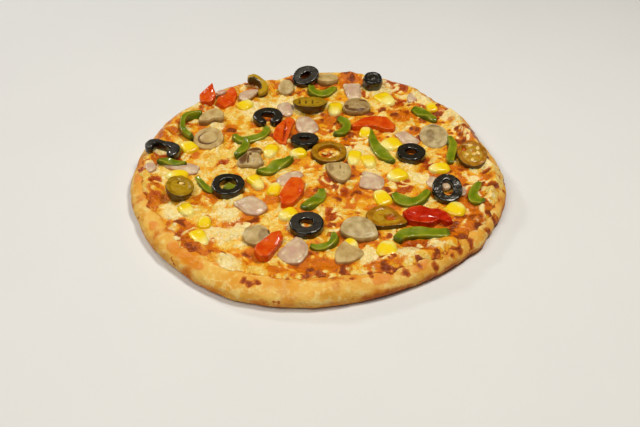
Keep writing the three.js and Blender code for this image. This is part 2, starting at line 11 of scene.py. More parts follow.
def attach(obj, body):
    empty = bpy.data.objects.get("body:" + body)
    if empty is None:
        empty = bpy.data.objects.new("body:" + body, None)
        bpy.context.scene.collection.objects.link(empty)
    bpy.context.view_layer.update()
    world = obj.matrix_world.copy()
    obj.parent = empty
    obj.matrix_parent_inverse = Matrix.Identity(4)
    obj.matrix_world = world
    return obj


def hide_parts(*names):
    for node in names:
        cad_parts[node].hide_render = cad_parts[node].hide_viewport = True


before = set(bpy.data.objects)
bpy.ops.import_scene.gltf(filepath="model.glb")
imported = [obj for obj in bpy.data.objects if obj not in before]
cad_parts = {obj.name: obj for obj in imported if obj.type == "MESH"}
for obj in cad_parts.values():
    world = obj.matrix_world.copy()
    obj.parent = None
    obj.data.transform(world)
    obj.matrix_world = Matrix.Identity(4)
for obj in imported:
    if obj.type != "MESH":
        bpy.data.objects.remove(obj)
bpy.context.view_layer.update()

MM = 0.001

# Sizes of the crust
PIZZA_RADIUS = 101.5
DOUGH_THICKNESS = 5.5
RIM_HEIGHT = 9
BELLY_HEIGHT = 3.6
BASE_SHARE = 0.965
RIM_FOOT = 0.86
RIM_CREST = 0.935
CREST_ROLL = (0.7, 42, 3)
UNDERSIDE_ROWS = 9

# Dough at the foot of the rim's front: height, and its middle and width as shares of the radius
FILL_HEIGHT = 2.3
FILL_MIDDLE = 0.872
FILL_WIDTH = 0.045

# Sizes of the cheese and of what lies on it
CHEESE_THICKNESS = 2.2
CHEESE_EDGE_THICKNESS = 1
CHEESE_EDGE_TAPER = 0.05
CHEESE_ROLLS = [(0.45, 34, 1), (0.3, 15, 2)]
CHEESE_CELLS = 300
GAP = 0.3
SINK = 0.9

# Where the outline bulges or falls short: degrees, millimetres, spread in degrees
OUTLINE_SWELLS = np.array([
    (-170, 1.4, 14), (-140, 2, 18), (-112, 3.6, 16), (-88, 0.5, 20), (-68, -2, 14), (-48, -1, 12),
    (-37, 1.4, 4), (-14, 1.6, 14), (15, -3.2, 11), (57, 4.9, 8), (70, 2.6, 9), (84, 2.2, 9),
    (109, -1.3, 8), (126, 2, 9), (140, -1, 6), (150, 1.3, 8),
])

# Bare rim between the cheese and the outline: degrees, millimetres added, spread in degrees
RIM_MARGIN = 4.5
MARGIN_SWELLS = np.array([(-98, 9, 36), (-150, 4, 20), (-62, -2, 10), (10, -1, 40), (90, -0.5, 30)])
MARGIN_WAVES = [(0.9, 9, 0), (0.7, 17, 1)]

# Blisters and lumps in the cheese: x, y, radius, height
CHEESE_LUMPS = np.array([
    (43, -74, 6, 1.6), (24, -77, 5, 1), (-61, 8, 6, 1.4), (2, -10, 5, 1.3), (-46, -3, 5, 1),
    (86, 33, 6, 1.8), (80, 43, 6, 1.5), (92, 20, 4.5, 1.4), (93, -13, 4.5, 1.5), (92, -26, 4.5, 1.4),
    (78, -64, 5.5, 1.6), (53, 39, 5, 1.4), (17, 92, 5.5, 1.8), (21, 94, 4, 1.4), (-31, 84, 7, 1.2),
    (56, -83, 5, 1), (39, -85, 4, 1), (-40, -87, 7, 1), (-57, -75, 7, 1), (-43, -62, 7, 1),
    (-54, -40, 5, 1.2), (-76, -50, 7, 1), (-88, -20, 6, 1), (-50, 48, 8, 0.8), (75, -50, 7, 1),
    (60, 62, 6, 1.2), (-90, 42, 5, 1.2), (13, -85, 6, 1), (72, 54, 5, 1.2), (-79, 26, 6, 1),
])


# Noise and curves

DRAW = np.random.default_rng(11)
SHUFFLE = np.tile(DRAW.permutation(256), 3)
GRADIENTS = DRAW.normal(size=(256, 3))
GRADIENTS /= np.linalg.norm(GRADIENTS, axis=1, keepdims=True)


def smooth(low, high, value):
    """0 below low, 1 above high, and a soft step between them."""
    share = np.clip((value - low) / (high - low), 0, 1)
    return share * share * (3 - 2 * share)


def mixed(first, second, share):
    return first + (second - first) * share


def noise(points, wave, seed=0):
    """Smooth noise between about -1 and 1, at points of two or three coordinates."""
    cell = np.zeros((len(points), 3))
    cell[:, :points.shape[1]] = points
    cell = cell / wave + 17.37 * seed
    base = np.floor(cell).astype(int)
    part = cell - base
    fade = part ** 3 * (part * (part * 6 - 15) + 10)
    total = np.zeros(len(points))
    for corner in itertools.product((0, 1), repeat=3):
        x, y, z = ((base + corner) & 255).T
        gradient = GRADIENTS[SHUFFLE[SHUFFLE[SHUFFLE[x] + y] + z]]
        weight = np.prod(np.where(corner, fade, 1 - fade), axis=1)
        total += weight * (gradient * (part - corner)).sum(axis=1)
    return 1.6 * total


def fractal(points, wave, octaves, seed=0):
    """Noise with finer and lower noise added to it."""
    layers = [noise(points, wave / 2 ** i, seed + i) / 2 ** i for i in range(octaves)]
    return sum(layers)


def catmull_rom(points, closed, places):
    """Points at places from 0 to 1 along a centripetal curve through the given points."""
    points = np.asarray(points, float)
    count = len(points)
    place = np.clip(places, 0, 1) * (count if closed else count - 1)
    span = np.minimum(np.floor(place).astype(int), (count if closed else count - 1) - 1)
    share = (place - span)[:, None]
    if closed:
        padded = np.concatenate([points[-1:], points, points[:2]])
    else:
        padded = np.concatenate([[2 * points[0] - points[1]], points, [2 * points[-1] - points[-2]]])
    before, start, end, after = (padded[span + i] for i in range(4))
    step = [np.linalg.norm(b - a, axis=1, keepdims=True) ** 0.5
            for a, b in ((before, start), (start, end), (end, after))]
    leave = (start - before) / step[0] - (end - before) / (step[0] + step[1]) + (end - start) / step[1]
    arrive = (end - start) / step[1] - (after - start) / (step[1] + step[2]) + (after - end) / step[2]
    leave, arrive = leave * step[1], arrive * step[1]
    square = -3 * start + 3 * end - 2 * leave - arrive
    cube = 2 * start - 2 * end + leave + arrive
    return start + share * (leave + share * (square + share * cube))


def along_curve(points, places):
    """Points at shares of the length of an open curve, and the curve's headings there."""
    fine = np.linspace(0, 1, 401)
    curve = catmull_rom(points, False, fine)
    steps = np.linalg.norm(np.diff(curve, axis=0), axis=1)
    length = np.concatenate([[0], np.cumsum(steps)])
    at = np.interp(np.asarray(places) * length[-1], length, fine)
    middle = catmull_rom(points, False, at)
    heading = catmull_rom(points, False, np.minimum(at + 0.01, 1)) - catmull_rom(points, False, at - 0.01)
    heading[:, 2] = 0
    return middle, heading / np.linalg.norm(heading, axis=1, keepdims=True), length[-1]


def around(degrees):
    """Unit vectors at headings in degrees."""
    angle = np.radians(degrees)
    return np.stack([np.cos(angle), np.sin(angle)], axis=-1)


def arc(x, y, reach_x, reach_y, start=0, end=315, count=8):
    """Points of an arc from one heading to another, which is a whole ellipse unless these are given."""
    return (x, y) + around(np.linspace(start, end, count)) * (reach_x, reach_y)


# Heights of the crust and the cheese

def swell(swells, degrees):
    away = (np.asarray(degrees)[..., None] - swells[:, 0] + 540) % 360 - 180
    return (swells[:, 1] * np.exp(-((away / swells[:, 2]) ** 2))).sum(axis=-1)


def outline(degrees):
    return PIZZA_RADIUS + swell(OUTLINE_SWELLS, degrees)


def cheese_reach(degrees):
    """Share of the outline's radius that the cheese reaches."""
    margin = RIM_MARGIN + swell(MARGIN_SWELLS, degrees)
    for height, count, phase in MARGIN_WAVES:
        margin = margin + height * np.sin(count * np.radians(degrees) + phase)
    return 1 - margin / outline(degrees)


def roll(x, y, height, wave, phase):
    """Rolling unevenness: crossing waves that add up to about one height."""
    total = 0
    for i in range(5):
        heading = phase + 2.4 * i
        along = x * np.cos(heading) + y * np.sin(heading)
        total = total + np.sin(2 * np.pi * along / (wave * (1 + 0.23 * i)) + 1.7 * phase * (i + 1))
    return height * total / 3


def polar(x, y):
    degrees = np.degrees(np.arctan2(y, x))
    return degrees, np.hypot(x, y) / outline(degrees)


def crust_top(x, y):
    share = polar(x, y)[1]
    crest = RIM_HEIGHT + roll(x, y, *CREST_ROLL)
    inner = mixed(DOUGH_THICKNESS, crest, smooth(RIM_FOOT, RIM_CREST, share))
    over = np.clip((share - RIM_CREST) / (1 - RIM_CREST), 0, 1)
    outer = BELLY_HEIGHT + (crest - BELLY_HEIGHT) * np.sqrt(1 - over * over)
    return np.where(share <= RIM_CREST, inner, outer)


def cheese_top(x, y):
    x, y = np.asarray(x, float), np.asarray(y, float)
    degrees, share = polar(x, y)
    inside = smooth(0, CHEESE_EDGE_TAPER, cheese_reach(degrees) - share)
    relief = sum(roll(x, y, *waves) for waves in CHEESE_ROLLS)
    for lump_x, lump_y, radius, height in CHEESE_LUMPS:
        relief = relief + height * np.exp(-2 * ((x - lump_x) ** 2 + (y - lump_y) ** 2) / radius ** 2)
    thickness = mixed(CHEESE_EDGE_THICKNESS, CHEESE_THICKNESS, inside)
    return crust_top(x, y) + GAP + thickness + inside * relief


# Forms and pieces

class Form:
    """A closed surface: vertices in millimetres, faces, and marks, each a number per vertex."""

    def __init__(self, vertices, faces, **marks):
        self.vertices = np.asarray(vertices, float)
        self.faces = faces
        self.marks = {name: np.broadcast_to(values, len(self.vertices)).astype(float)
                      for name, values in marks.items()}

    def normals(self):
        triangles = np.array([(face[0], face[i + 1], face[i + 2])
                              for face in self.faces for i in range(len(face) - 2)])
        corners = self.vertices[triangles]
        across = np.cross(corners[:, 1] - corners[:, 0], corners[:, 2] - corners[:, 0])
        total = np.zeros_like(self.vertices)
        for i in range(3):
            np.add.at(total, triangles[:, i], across)
        return total / np.maximum(np.linalg.norm(total, axis=1, keepdims=True), 1e-12)

    def push(self, amounts):
        """Moves the vertices outwards by their amounts."""
        self.vertices = self.vertices + self.normals() * np.asarray(amounts)[:, None]
        return self


def joined(forms):
    offsets = np.cumsum([0] + [len(form.vertices) for form in forms])
    faces = [[i + offset for i in face] for form, offset in zip(forms, offsets) for face in form.faces]
    marks = {name: np.concatenate([form.marks[name] for form in forms]) for name in forms[0].marks}
    return Form(np.concatenate([form.vertices for form in forms]), faces, **marks)


def rows_form(rows, hollow=False, **marks):
    """Closes rows of points, each row a loop, with a pole at either end or, if hollow, on themselves.
    A mark has one value, or a value for each row, or for each point of each row."""
    count, sides = rows.shape[:2]
    index = np.arange(count * sides).reshape(count, sides)
    below = index if hollow else index[:-1]
    above = np.roll(index, -1, axis=0) if hollow else index[1:]
    quads = np.stack([below, np.roll(below, -1, 1), np.roll(above, -1, 1), above], axis=-1)
    faces = quads.reshape(-1, 4).tolist()
    values = {}
    for name, value in marks.items():
        value = np.asarray(value, float)
        spread = value[:, None] if value.ndim == 1 else value
        values[name] = np.broadcast_to(spread, (count, sides)).reshape(-1)
    vertices = rows.reshape(-1, 3)
    if not hollow:
        low, high = count * sides, count * sides + 1
        faces += [[low, after, here] for here, after in zip(index[0], np.roll(index[0], -1))]
        faces += [[high, here, after] for here, after in zip(index[-1], np.roll(index[-1], -1))]
        vertices = np.concatenate([vertices, [rows[0].mean(0), rows[-1].mean(0)]])
        for name, value in values.items():
            values[name] = np.concatenate([value, [value[:sides].mean(), value[-sides:].mean()]])
    return Form(vertices, faces, **values)


def add_piece(name, form, material, slot, *replaced):
    mesh = bpy.data.meshes.new(name)
    mesh.from_pydata((form.vertices * MM).tolist(), [], form.faces)
    for mark, values in form.marks.items():
        mesh.attributes.new(mark, "FLOAT", "POINT").data.foreach_set("value", values)
    mesh.polygons.foreach_set("use_smooth", np.ones(len(form.faces), bool))
    mesh.materials.append(material)
    piece = bpy.data.objects.new(name, mesh)
    bpy.context.collection.objects.link(piece)
    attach(piece, "root")
    if replaced:
        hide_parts(*replaced)


# Shaders

# How deep light goes into food, in metres
SOFT_DEPTH = 0.002


def rgb(red, green, blue):
    """A colour in steps of 0 to 255 as the linear values that a shader takes."""
    values = np.array([red, green, blue]) / 255
    linear = np.where(values > 0.04, ((values + 0.055) / 1.055) ** 2.4, values / 12.92)
    return (*linear.tolist(), 1.0)


class Shader:
    """One material's nodes round its Principled shader, with places in millimetres."""

    def __init__(self, name, **settings):
        self.material = bpy.data.materials.new(name)
        self.material.use_nodes = True
        self.tree = self.material.node_tree
        self.principled = self.tree.nodes["Principled BSDF"]
        self.set(**{"Subsurface_Scale": SOFT_DEPTH, **settings})
        scale = self.tree.nodes.new("ShaderNodeVectorMath")
        scale.operation = "SCALE"
        scale.inputs["Scale"].default_value = 1 / MM
        self.put(scale.inputs[0], self.tree.nodes.new("ShaderNodeTexCoord").outputs["Object"])
        self.place = scale.outputs[0]

    def put(self, socket, value):
        """Links an output to a socket, or sets the socket's own value, where a tuple is a colour."""
        if isinstance(value, bpy.types.NodeSocket):
            self.tree.links.new(value, socket)
        else:
            socket.default_value = rgb(*value) if isinstance(value, tuple) else value

    def set(self, **values):
        for name, value in values.items():
            self.put(self.principled.inputs[name.replace("_", " ")], value)

    def mark(self, name):
        node = self.tree.nodes.new("ShaderNodeAttribute")
        node.attribute_name = name
        return node.outputs["Fac"]

    def marks(self, *names):
        return [self.mark(name) for name in names]

    def vector(self, x=0.0, y=0.0, z=0.0):
        node = self.tree.nodes.new("ShaderNodeCombineXYZ")
        for socket, value in zip(node.inputs, (x, y, z)):
            self.put(socket, value)
        return node.outputs[0]

    def noise(self, wave, detail=2.0, place=None, distortion=0.0):
        node = self.tree.nodes.new("ShaderNodeTexNoise")
        self.put(node.inputs["Vector"], place or self.place)
        node.inputs["Scale"].default_value = 1 / wave
        node.inputs["Detail"].default_value = detail
        node.inputs["Distortion"].default_value = distortion
        return node.outputs["Fac"]

    def step(self, value, low, high, to_low=0.0, to_high=1.0):
        node = self.tree.nodes.new("ShaderNodeMapRange")
        node.interpolation_type = "SMOOTHSTEP"
        for name, given in (("Value", value), ("From Min", low), ("From Max", high),
                            ("To Min", to_low), ("To Max", to_high)):
            self.put(node.inputs[name], given)
        return node.outputs["Result"]

    def math(self, operation, first, second):
        node = self.tree.nodes.new("ShaderNodeMath")
        node.operation = operation
        self.put(node.inputs[0], first)
        self.put(node.inputs[1], second)
        return node.outputs[0]

    def times(self, first, second):
        return self.math("MULTIPLY", first, second)

    def sum(self, *terms):
        """The sum of outputs and numbers, where a pair is an output and its factor."""
        total, *rest = [self.times(*term) if isinstance(term, tuple) else term for term in terms]
        for term in rest:
            total = self.math("ADD", total, term)
        return total

    def mix(self, share, first, second):
        node = self.tree.nodes.new("ShaderNodeMix")
        node.data_type = "RGBA"
        for socket, value in zip((node.inputs[0], node.inputs[6], node.inputs[7]), (share, first, second)):
            self.put(socket, value)
        return node.outputs[2]

    def paint(self, color, *layers):
        """Lays colours over the first one. Each has the value that it shows at, the two ends of that
        value's step, and its least and most share where these aren't 0 and 1."""
        for layer, value, *step in layers:
            color = self.mix(self.step(value, *step), color, layer)
        return color

    def bump(self, *layers):
        """Bumps, each a height from 0 to 1 and its size in millimetres."""
        normal = None
        for height, size in layers:
            node = self.tree.nodes.new("ShaderNodeBump")
            node.inputs["Distance"].default_value = size * MM
            self.put(node.inputs["Height"], height)
            if normal is not None:
                self.put(node.inputs["Normal"], normal)
            normal = node.outputs[0]
        self.put(self.principled.inputs["Normal"], normal)


def crust_material():
    shader = Shader("baked_crust", Specular_IOR_Level=0.25, Subsurface_Weight=0.08)
    toast, char, oil, under = shader.marks("toast", "char", "oil", "under")
    fine, middle, broad = shader.noise(1.1, 3), shader.noise(3.4, 4), shader.noise(11, 3)
    heat = shader.sum(toast, (middle, 0.8), (fine, 0.35), -0.15)
    edge = shader.sum(char, (fine, 0.5), (middle, 0.3))
    color = shader.paint(
        (240, 192, 90),
        ((230, 162, 48), broad, 0.35, 0.65),
        ((246, 218, 134), middle, 0.48, 0.62, 0.0, 0.7),
        ((214, 126, 18), heat, 0.68, 1.12),
        ((178, 90, 16), heat, 1.0, 1.4),
        ((228, 132, 8), shader.sum(oil, (middle, 0.5)), 0.62, 1.1, 0.0, 0.8),
        ((198, 106, 20), edge, 0.66, 0.95),
        ((146, 62, 12), edge, 1.0, 1.3),
    )
    mottle = shader.paint((222, 168, 92), ((146, 86, 38), shader.noise(7, 4), 0.4, 0.66))
    shader.set(Base_Color=shader.mix(under, color, mottle), Roughness=shader.step(oil, 0.2, 0.8, 0.6, 0.35))
    shader.bump((middle, 0.9), (fine, 0.4))
    return shader.material


def cheese_material():
    shader = Shader("melted_cheese", Specular_IOR_Level=0.28, Subsurface_Weight=0.1)
    warm, bake, oil, sauce, pale, relief = shader.marks("warm", "bake", "oil", "sauce", "pale", "relief")
    fine = shader.noise(0.9)
    lace = shader.noise(2.2, 4, distortion=1.5)
    patch = shader.noise(5.5, 4, distortion=1.5)
    low = shader.times(relief, -0.9)
    heat = shader.sum(warm, (patch, 2.0), (lace, 0.3), low)
    greased = shader.sum(oil, (patch, 0.7), (lace, 0.6), low)
    soaked = shader.sum(sauce, (lace, 1.1), (low, 0.5))
    cream = shader.sum(pale, (lace, 0.9), (patch, 0.4), (relief, 0.3))
    spot = shader.sum(bake, (shader.noise(3.2, 3, distortion=0.6), 1.4), (heat, 0.3), (fine, 0.25))
    clotted = shader.paint((250, 220, 134), ((255, 238, 182), lace, 0.42, 0.6))
    color = shader.paint(
        (242, 192, 66),
        ((250, 222, 126), lace, 0.42, 0.58),
        ((240, 166, 18), heat, 1.42, 1.68),
        ((216, 112, 2), heat, 1.88, 2.16),
        ((220, 118, 4), greased, 1.1, 1.5),
        ((196, 88, 6), soaked, 1.0, 1.3),
        ((158, 56, 4), soaked, 1.4, 1.65),
        (clotted, cream, 0.95, 1.35),
        ((204, 104, 6), spot, 1.56, 1.74),
        ((158, 70, 6), spot, 1.76, 1.98),
        ((130, 54, 8), spot, 2.08, 2.3),
    )
    shader.set(Base_Color=color, Roughness=shader.step(shader.sum(oil, sauce, lace), 0.4, 1.2, 0.4, 0.2))
    shader.bump((patch, 1.2), (lace, 0.9), (fine, 0.08))
    return shader.material


def corn_material():
    shader = Shader("sweetcorn", Specular_IOR_Level=0.45, Roughness=0.28, Subsurface_Weight=0.15,
                    Coat_Weight=0.2, Coat_Roughness=0.15)
    blush = shader.sum(shader.mark("tip"), (shader.noise(4), 0.7))
    shader.set(Base_Color=shader.paint((236, 186, 4), ((248, 216, 16), blush, 0.2, 0.7),
                                       ((251, 236, 140), blush, 0.8, 1.25)))
    shader.bump((shader.noise(2.2), 0.25))
    return shader.material


def pepper_material():
    shader = Shader("green_pepper", Specular_IOR_Level=0.22, Subsurface_Weight=0.05,
                    Subsurface_Scale=SOFT_DEPTH / 2, Coat_Weight=0.65, Coat_Roughness=0.06)
    rise, end, ridge = shader.marks("rise", "end", "ridge")
    blotch = shader.noise(6, 3)
    skin = shader.paint((62, 84, 2), ((88, 110, 4), blotch, 0.3, 0.7))
    flesh = shader.paint((98, 118, 4), ((126, 140, 10), blotch, 0.35, 0.68))
    color = shader.paint(skin, (flesh, shader.sum(rise, (blotch, 0.3)), 0.7, 1.05))
    color = shader.mix(shader.times(ridge, shader.step(blotch, 0.3, 0.6, 0.3, 0.9)), color, (164, 160, 30))
    color = shader.paint(color, ((46, 62, 2), end, 0.4, 1.0, 0.0, 0.6))
    shader.set(Base_Color=color, Roughness=shader.step(blotch, 0.3, 0.7, 0.26, 0.42))
    shader.bump((shader.noise(2.6, 3), 0.5), (shader.noise(0.6), 0.05))
    return shader.material


def onion_material():
    shader = Shader("cooked_onion", Specular_IOR_Level=0.45, Roughness=0.3, Subsurface_Weight=0.25,
                    Coat_Weight=0.2, Coat_Roughness=0.2)
    along, across, share = shader.marks("along", "across", "share")
    veins = shader.noise(1.0, place=shader.vector(shader.times(along, 0.08), shader.times(across, 0.5)))
    blotch = shader.noise(5, 3)
    shader.set(Base_Color=shader.paint(
        (208, 180, 146),
        ((216, 190, 160), veins, 0.35, 0.7),
        ((202, 164, 142), blotch, 0.42, 0.7),
        ((228, 208, 178), blotch, 0.5, 0.3),
        ((176, 124, 76), shader.sum(share, (blotch, 0.3)), 1.04, 1.2),
    ))
    shader.bump((veins, 0.1), (shader.noise(3.5, 3), 0.35))
    return shader.material


def tomato_material():
    shader = Shader("tomato", Specular_IOR_Level=0.2, Subsurface_Weight=0.06, Coat_Weight=0.5,
                    Coat_Roughness=0.06)
    deep, dark, edge = shader.marks("deep", "dark", "edge")
    blotch = shader.noise(5, 3)
    light = shader.paint((208, 60, 0), ((226, 96, 8), blotch, 0.3, 0.7))
    rich = shader.paint((170, 20, 0), ((202, 46, 2), blotch, 0.3, 0.7))
    # dark paints shade along a tomato's fold.
    color = shader.paint(shader.mix(deep, light, rich), ((112, 18, 4), dark, 0.2, 0.9, 0.0, 0.75))
    color = shader.mix(shader.times(edge, shader.step(blotch, 0.35, 0.6, 0.1, 0.7)), color, (236, 126, 50))
    shader.set(Base_Color=color, Roughness=shader.step(blotch, 0.3, 0.7, 0.22, 0.38))
    shader.bump((shader.noise(2.2, 3), 0.45))
    return shader.material


def mushroom_material():
    shader = Shader("cooked_mushroom", Specular_IOR_Level=0.4, Roughness=0.4, Subsurface_Weight=0.12,
                    Coat_Weight=0.15, Coat_Roughness=0.2)
    dark, gill, ashen, rise = shader.marks("dark", "gill", "ashen", "rise")
    blotch, fine = shader.noise(4, 3), shader.noise(1.1)
    face = shader.paint((188, 158, 98), ((208, 182, 124), blotch, 0.35, 0.7))
    cool = shader.paint((172, 150, 100), ((208, 188, 142), blotch, 0.35, 0.7))
    ribs = shader.sum(gill, (fine, 0.4), (blotch, 0.3))
    shader.set(Base_Color=shader.paint(
        shader.mix(ashen, face, cool),
        ((160, 122, 66), blotch, 0.42, 0.3, 0.0, 0.4),
        ((126, 84, 34), shader.sum(rise, (blotch, 0.3)), 0.95, 0.6, 0.0, 0.85),
        # dark carries painted shade in creases and grooves as well as the mushroom's own darker tones.
        ((104, 66, 26), shader.sum(dark, (fine, 0.3)), 0.35, 0.95),
        ((112, 74, 38), ribs, 0.62, 1.05),
        ((78, 48, 24), ribs, 1.0, 1.3),
    ))
    shader.bump((shader.noise(2.2, 3), 0.35), (shader.noise(0.6), 0.08))
    return shader.material


def jalapeno_material():
    shader = Shader("pickled_jalapeno", Specular_IOR_Level=0.25, Subsurface_Weight=0.08,
                    Coat_Weight=0.35, Coat_Roughness=0.07)
    wall, pit, vein, ruddy = shader.marks("wall", "pit", "vein", "ruddy")
    blotch = shader.noise(3, 3)
    plain = shader.paint((144, 108, 4), ((172, 134, 12), blotch, 0.3, 0.7))
    brown = shader.paint((148, 90, 2), ((184, 120, 8), blotch, 0.3, 0.7))
    # The pit colour is dark brown for a green slice, painted shade in its hollows, and orange flesh for a
    # red one.
    pit_shade_and_flesh = shader.mix(ruddy, (66, 34, 2), (206, 98, 8))
    color = shader.paint(
        shader.mix(ruddy, plain, brown),
        ((188, 150, 24), shader.sum(vein, (blotch, 0.4)), 0.6, 1.1),
        ((84, 60, 4), shader.sum(wall, (blotch, 0.3)), 0.6, 1.05),
        (pit_shade_and_flesh, shader.sum(pit, (blotch, 0.3)), 0.5, 1.0),
    )
    shader.set(Base_Color=color, Roughness=shader.step(blotch, 0.3, 0.7, 0.26, 0.42))
    shader.bump((shader.noise(1.8, 3), 0.3), (shader.noise(0.6), 0.06))
    return shader.material


def olive_material():
    shader = Shader("black_olive", Specular_IOR_Level=0.5, Coat_Weight=0.7, Coat_Roughness=0.07)
    face = shader.step(shader.sum(shader.mark("face"), (shader.noise(2), 0.3)), 0.7, 1.1)
    dull = shader.times(face, shader.mark("matt"))
    cut = shader.paint((26, 22, 14), ((50, 44, 30), shader.noise(1.2, 3), 0.35, 0.7))
    skin = shader.paint((8, 8, 7), ((20, 19, 16), shader.noise(5), 0.35, 0.7))
    shader.set(Base_Color=shader.mix(face, skin, cut), Roughness=shader.step(dull, 0.0, 1.0, 0.26, 0.5))
    shader.bump((shader.noise(2.2), 0.4), (shader.noise(0.5), 0.03))
    return shader.material


def seed_material():
    shader = Shader("pale_seeds", Specular_IOR_Level=0.4, Roughness=0.35, Subsurface_Weight=0.15,
                    Subsurface_Scale=SOFT_DEPTH / 2)
    shader.set(Base_Color=shader.paint((228, 184, 80), ((246, 222, 150), shader.noise(1.4), 0.35, 0.7)))
    shader.bump((shader.noise(0.9), 0.12))
    return shader.material


# The crust

# Browned marks on the rim: x, y, radius
CRUST_CHARS = np.array([
    (-35, -92, 1.9), (-32, -94, 2), (-28.5, -92, 1.9), (102, -12, 2.2), (96, -44, 1.8), (62, -81, 1.6),
    (75, -63, 2), (69, -69, 2), (56, -81, 2.2), (41, -86, 1.8), (34, -87, 1.3), (49, -82, 1.5), (93, -29, 2),
    (16, -91, 1.2), (25, -89, 1.4),
])

# Oil and sauce that ran onto the rim: x, y, radius
CRUST_OILS = np.array([
    (-64, -77, 6), (-71, -71, 6), (-58, -82, 4), (-84, -52, 4), (-97, 5, 6), (-96, 25, 6), (-92, 40, 7),
    (-84, 52, 7), (50, 86, 8), (62, 80, 6), (-42, 90, 8), (80, 58, 5), (-98, -12, 5), (96, -34, 5),
    (50, -85, 6), (66, -74, 6), (30, -91, 5),
])


def warped(points, wave, size, seed):
    """Points moved about by noise, which frays what is drawn at them."""
    shift = np.stack([noise(points, wave, seed), noise(points, wave, seed + 1)], axis=1)
    return points[:, :2] + size * shift


def spots(points, table):
    """Bell-shaped spots of a table of x, y and radius, 1 at the middle of each."""
    total = np.zeros(len(points))
    for x, y, radius in table:
        away = ((points[:, 0] - x) ** 2 + (points[:, 1] - y) ** 2) / radius ** 2
        total = np.maximum(total, np.exp(-0.7 * away ** 1.5))
    return total


def front_fill(points):
    """Dough that fills the foot of the rim at the front, where the bare rim is broad and low."""
    degrees, share = polar(points[:, 0], points[:, 1])
    front = smooth(-25, -60, degrees) * smooth(-165, -135, degrees)
    return FILL_HEIGHT * front * np.exp(-(((share - FILL_MIDDLE) / FILL_WIDTH) ** 2))


def edge_blisters(count, start, end, reach_low, reach_high):
    """Browned blisters between two headings and two shares of the outline's radius."""
    degrees = DRAW.uniform(start, end, count)
    radius = outline(degrees) * DRAW.uniform(reach_low, reach_high, count)
    return np.column_stack([radius[:, None] * around(degrees), DRAW.uniform(0.9, 1.9, count)])


def crust_form():
    degrees = np.arange(540) / 540 * 360
    bottom = [(share, 0.0) for share in (0.3, 0.6, 0.8, 0.88, 0.93, 0.955)]
    bottom += [(BASE_SHARE + (1 - BASE_SHARE) * np.sin(turn), BELLY_HEIGHT * (1 - np.cos(turn)))
               for turn in np.linspace(0, 1, 9) * np.pi / 2]
    upper = [RIM_CREST + (1 - RIM_CREST) * np.cos(turn) for turn in np.linspace(0.16, np.pi / 2, 14)]
    inner = [*np.linspace(RIM_CREST, 0.8, 26)[1:], 0.7, 0.5, 0.25]
    shares = np.array([share for share, height in bottom] + upper + inner)
    rows = np.zeros((len(shares), len(degrees), 3))
    rows[..., :2] = (shares[:, None] * outline(degrees))[..., None] * around(degrees)
    rows[..., 2] = crust_top(rows[..., 0], rows[..., 1])
    for row, (share, height) in zip(rows, bottom):
        row[:, 2] = height
    form = rows_form(rows, under=np.arange(len(rows)) < UNDERSIDE_ROWS)

    points = form.vertices
    x, y, z = points.T
    degrees, share = polar(x, y)
    rim = smooth(0.8, 0.9, share) * smooth(0, 2, z)
    frayed = warped(points, 4, 1.6, 61)
    char = spots(frayed, np.concatenate([CRUST_CHARS, edge_blisters(60, -55, 62, 0.92, 1.0)]))
    form.push(rim * (0.5 * fractal(points, 16, 2, 1) + 0.35 * noise(points, 6, 3) - 0.5 * char))
    form.vertices[:, 2] = np.maximum(form.vertices[:, 2] + front_fill(points) * smooth(4, 5, z), 0)

    browned = smooth(7, 2.5, z) * (0.25 + 0.35 * smooth(-20, 40, x))
    freckle = smooth(0.8, 1.1, fractal(points, 5, 2, 9) + 0.25 * smooth(0.95, 1, share))
    melt = np.exp(-(((share - cheese_reach(degrees)) / 0.022) ** 2))
    melt = melt * smooth(-0.5, 0.5, fractal(points, 9, 2, 63))
    oil = np.maximum(spots(frayed, CRUST_OILS), 0.8 * melt) * smooth(1.0, 0.96, share)
    bare = smooth(-46, -66, degrees) * smooth(-172, -156, degrees)
    overrun = (1 - bare) * smooth(2, 4, z) * smooth(1.005, 0.975, share)
    form.marks["toast"] = np.clip(0.5 * fractal(points, 13, 3, 5) + 0.2 + browned, 0, 1)
    form.marks["char"] = np.maximum(char, 0.75 * freckle * rim)
    form.marks["oil"] = np.maximum(oil, overrun * (0.05 + 0.6 * fractal(points, 8, 2, 65)))
    return form


# The cheese

# Listed areas of the cheese: x, y, radius
ORANGE_AREAS = np.array([
    (77, -48, 15), (-45, 82, 8), (-90, 30, 6), (-52, 33, 7), (-37, 38, 5), (52, 50, 8), (20, -26, 6),
    (85, 27, 6), (-64, -70, 7), (-50, -12, 5), (-30, -72, 6), (0, -82, 8), (28, -82, 6), (-35, -50, 5),
    (-24, -30, 5), (30, -38, 6), (10, 20, 6), (-58, -28, 6), (-92, -30, 8), (-5, -54, 4), (52, 8, 4),
    (-12, -84, 6), (-20, -84, 5), (-2, 20, 5), (-3, 66, 7),
])
SAUCE_AREAS = np.array([
    (-68, -66, 4), (-69, -74, 4), (-67, -58, 3.5), (-88, -14, 3.5), (-87, -26, 4), (-90, -38, 4.5),
    (-97, -6, 3), (-98, -16, 3), (-57, -85, 3), (50, 83, 7), (43, 86, 4), (29, 74, 4), (50, 66, 5),
    (44, 62, 3), (46, -19, 6), (5, -14, 6), (8, -42, 5), (-78, 6, 4), (-53, 4, 4), (48, -67, 7),
    (60, 4, 4), (-88, 9, 4), (-2, -27, 3), (6, 9, 4.5), (34, -46, 4), (-93, -48, 3), (72, -27, 2.5),
    (-57, -46, 3), (14, -24, 4), (62, -1, 4),
])
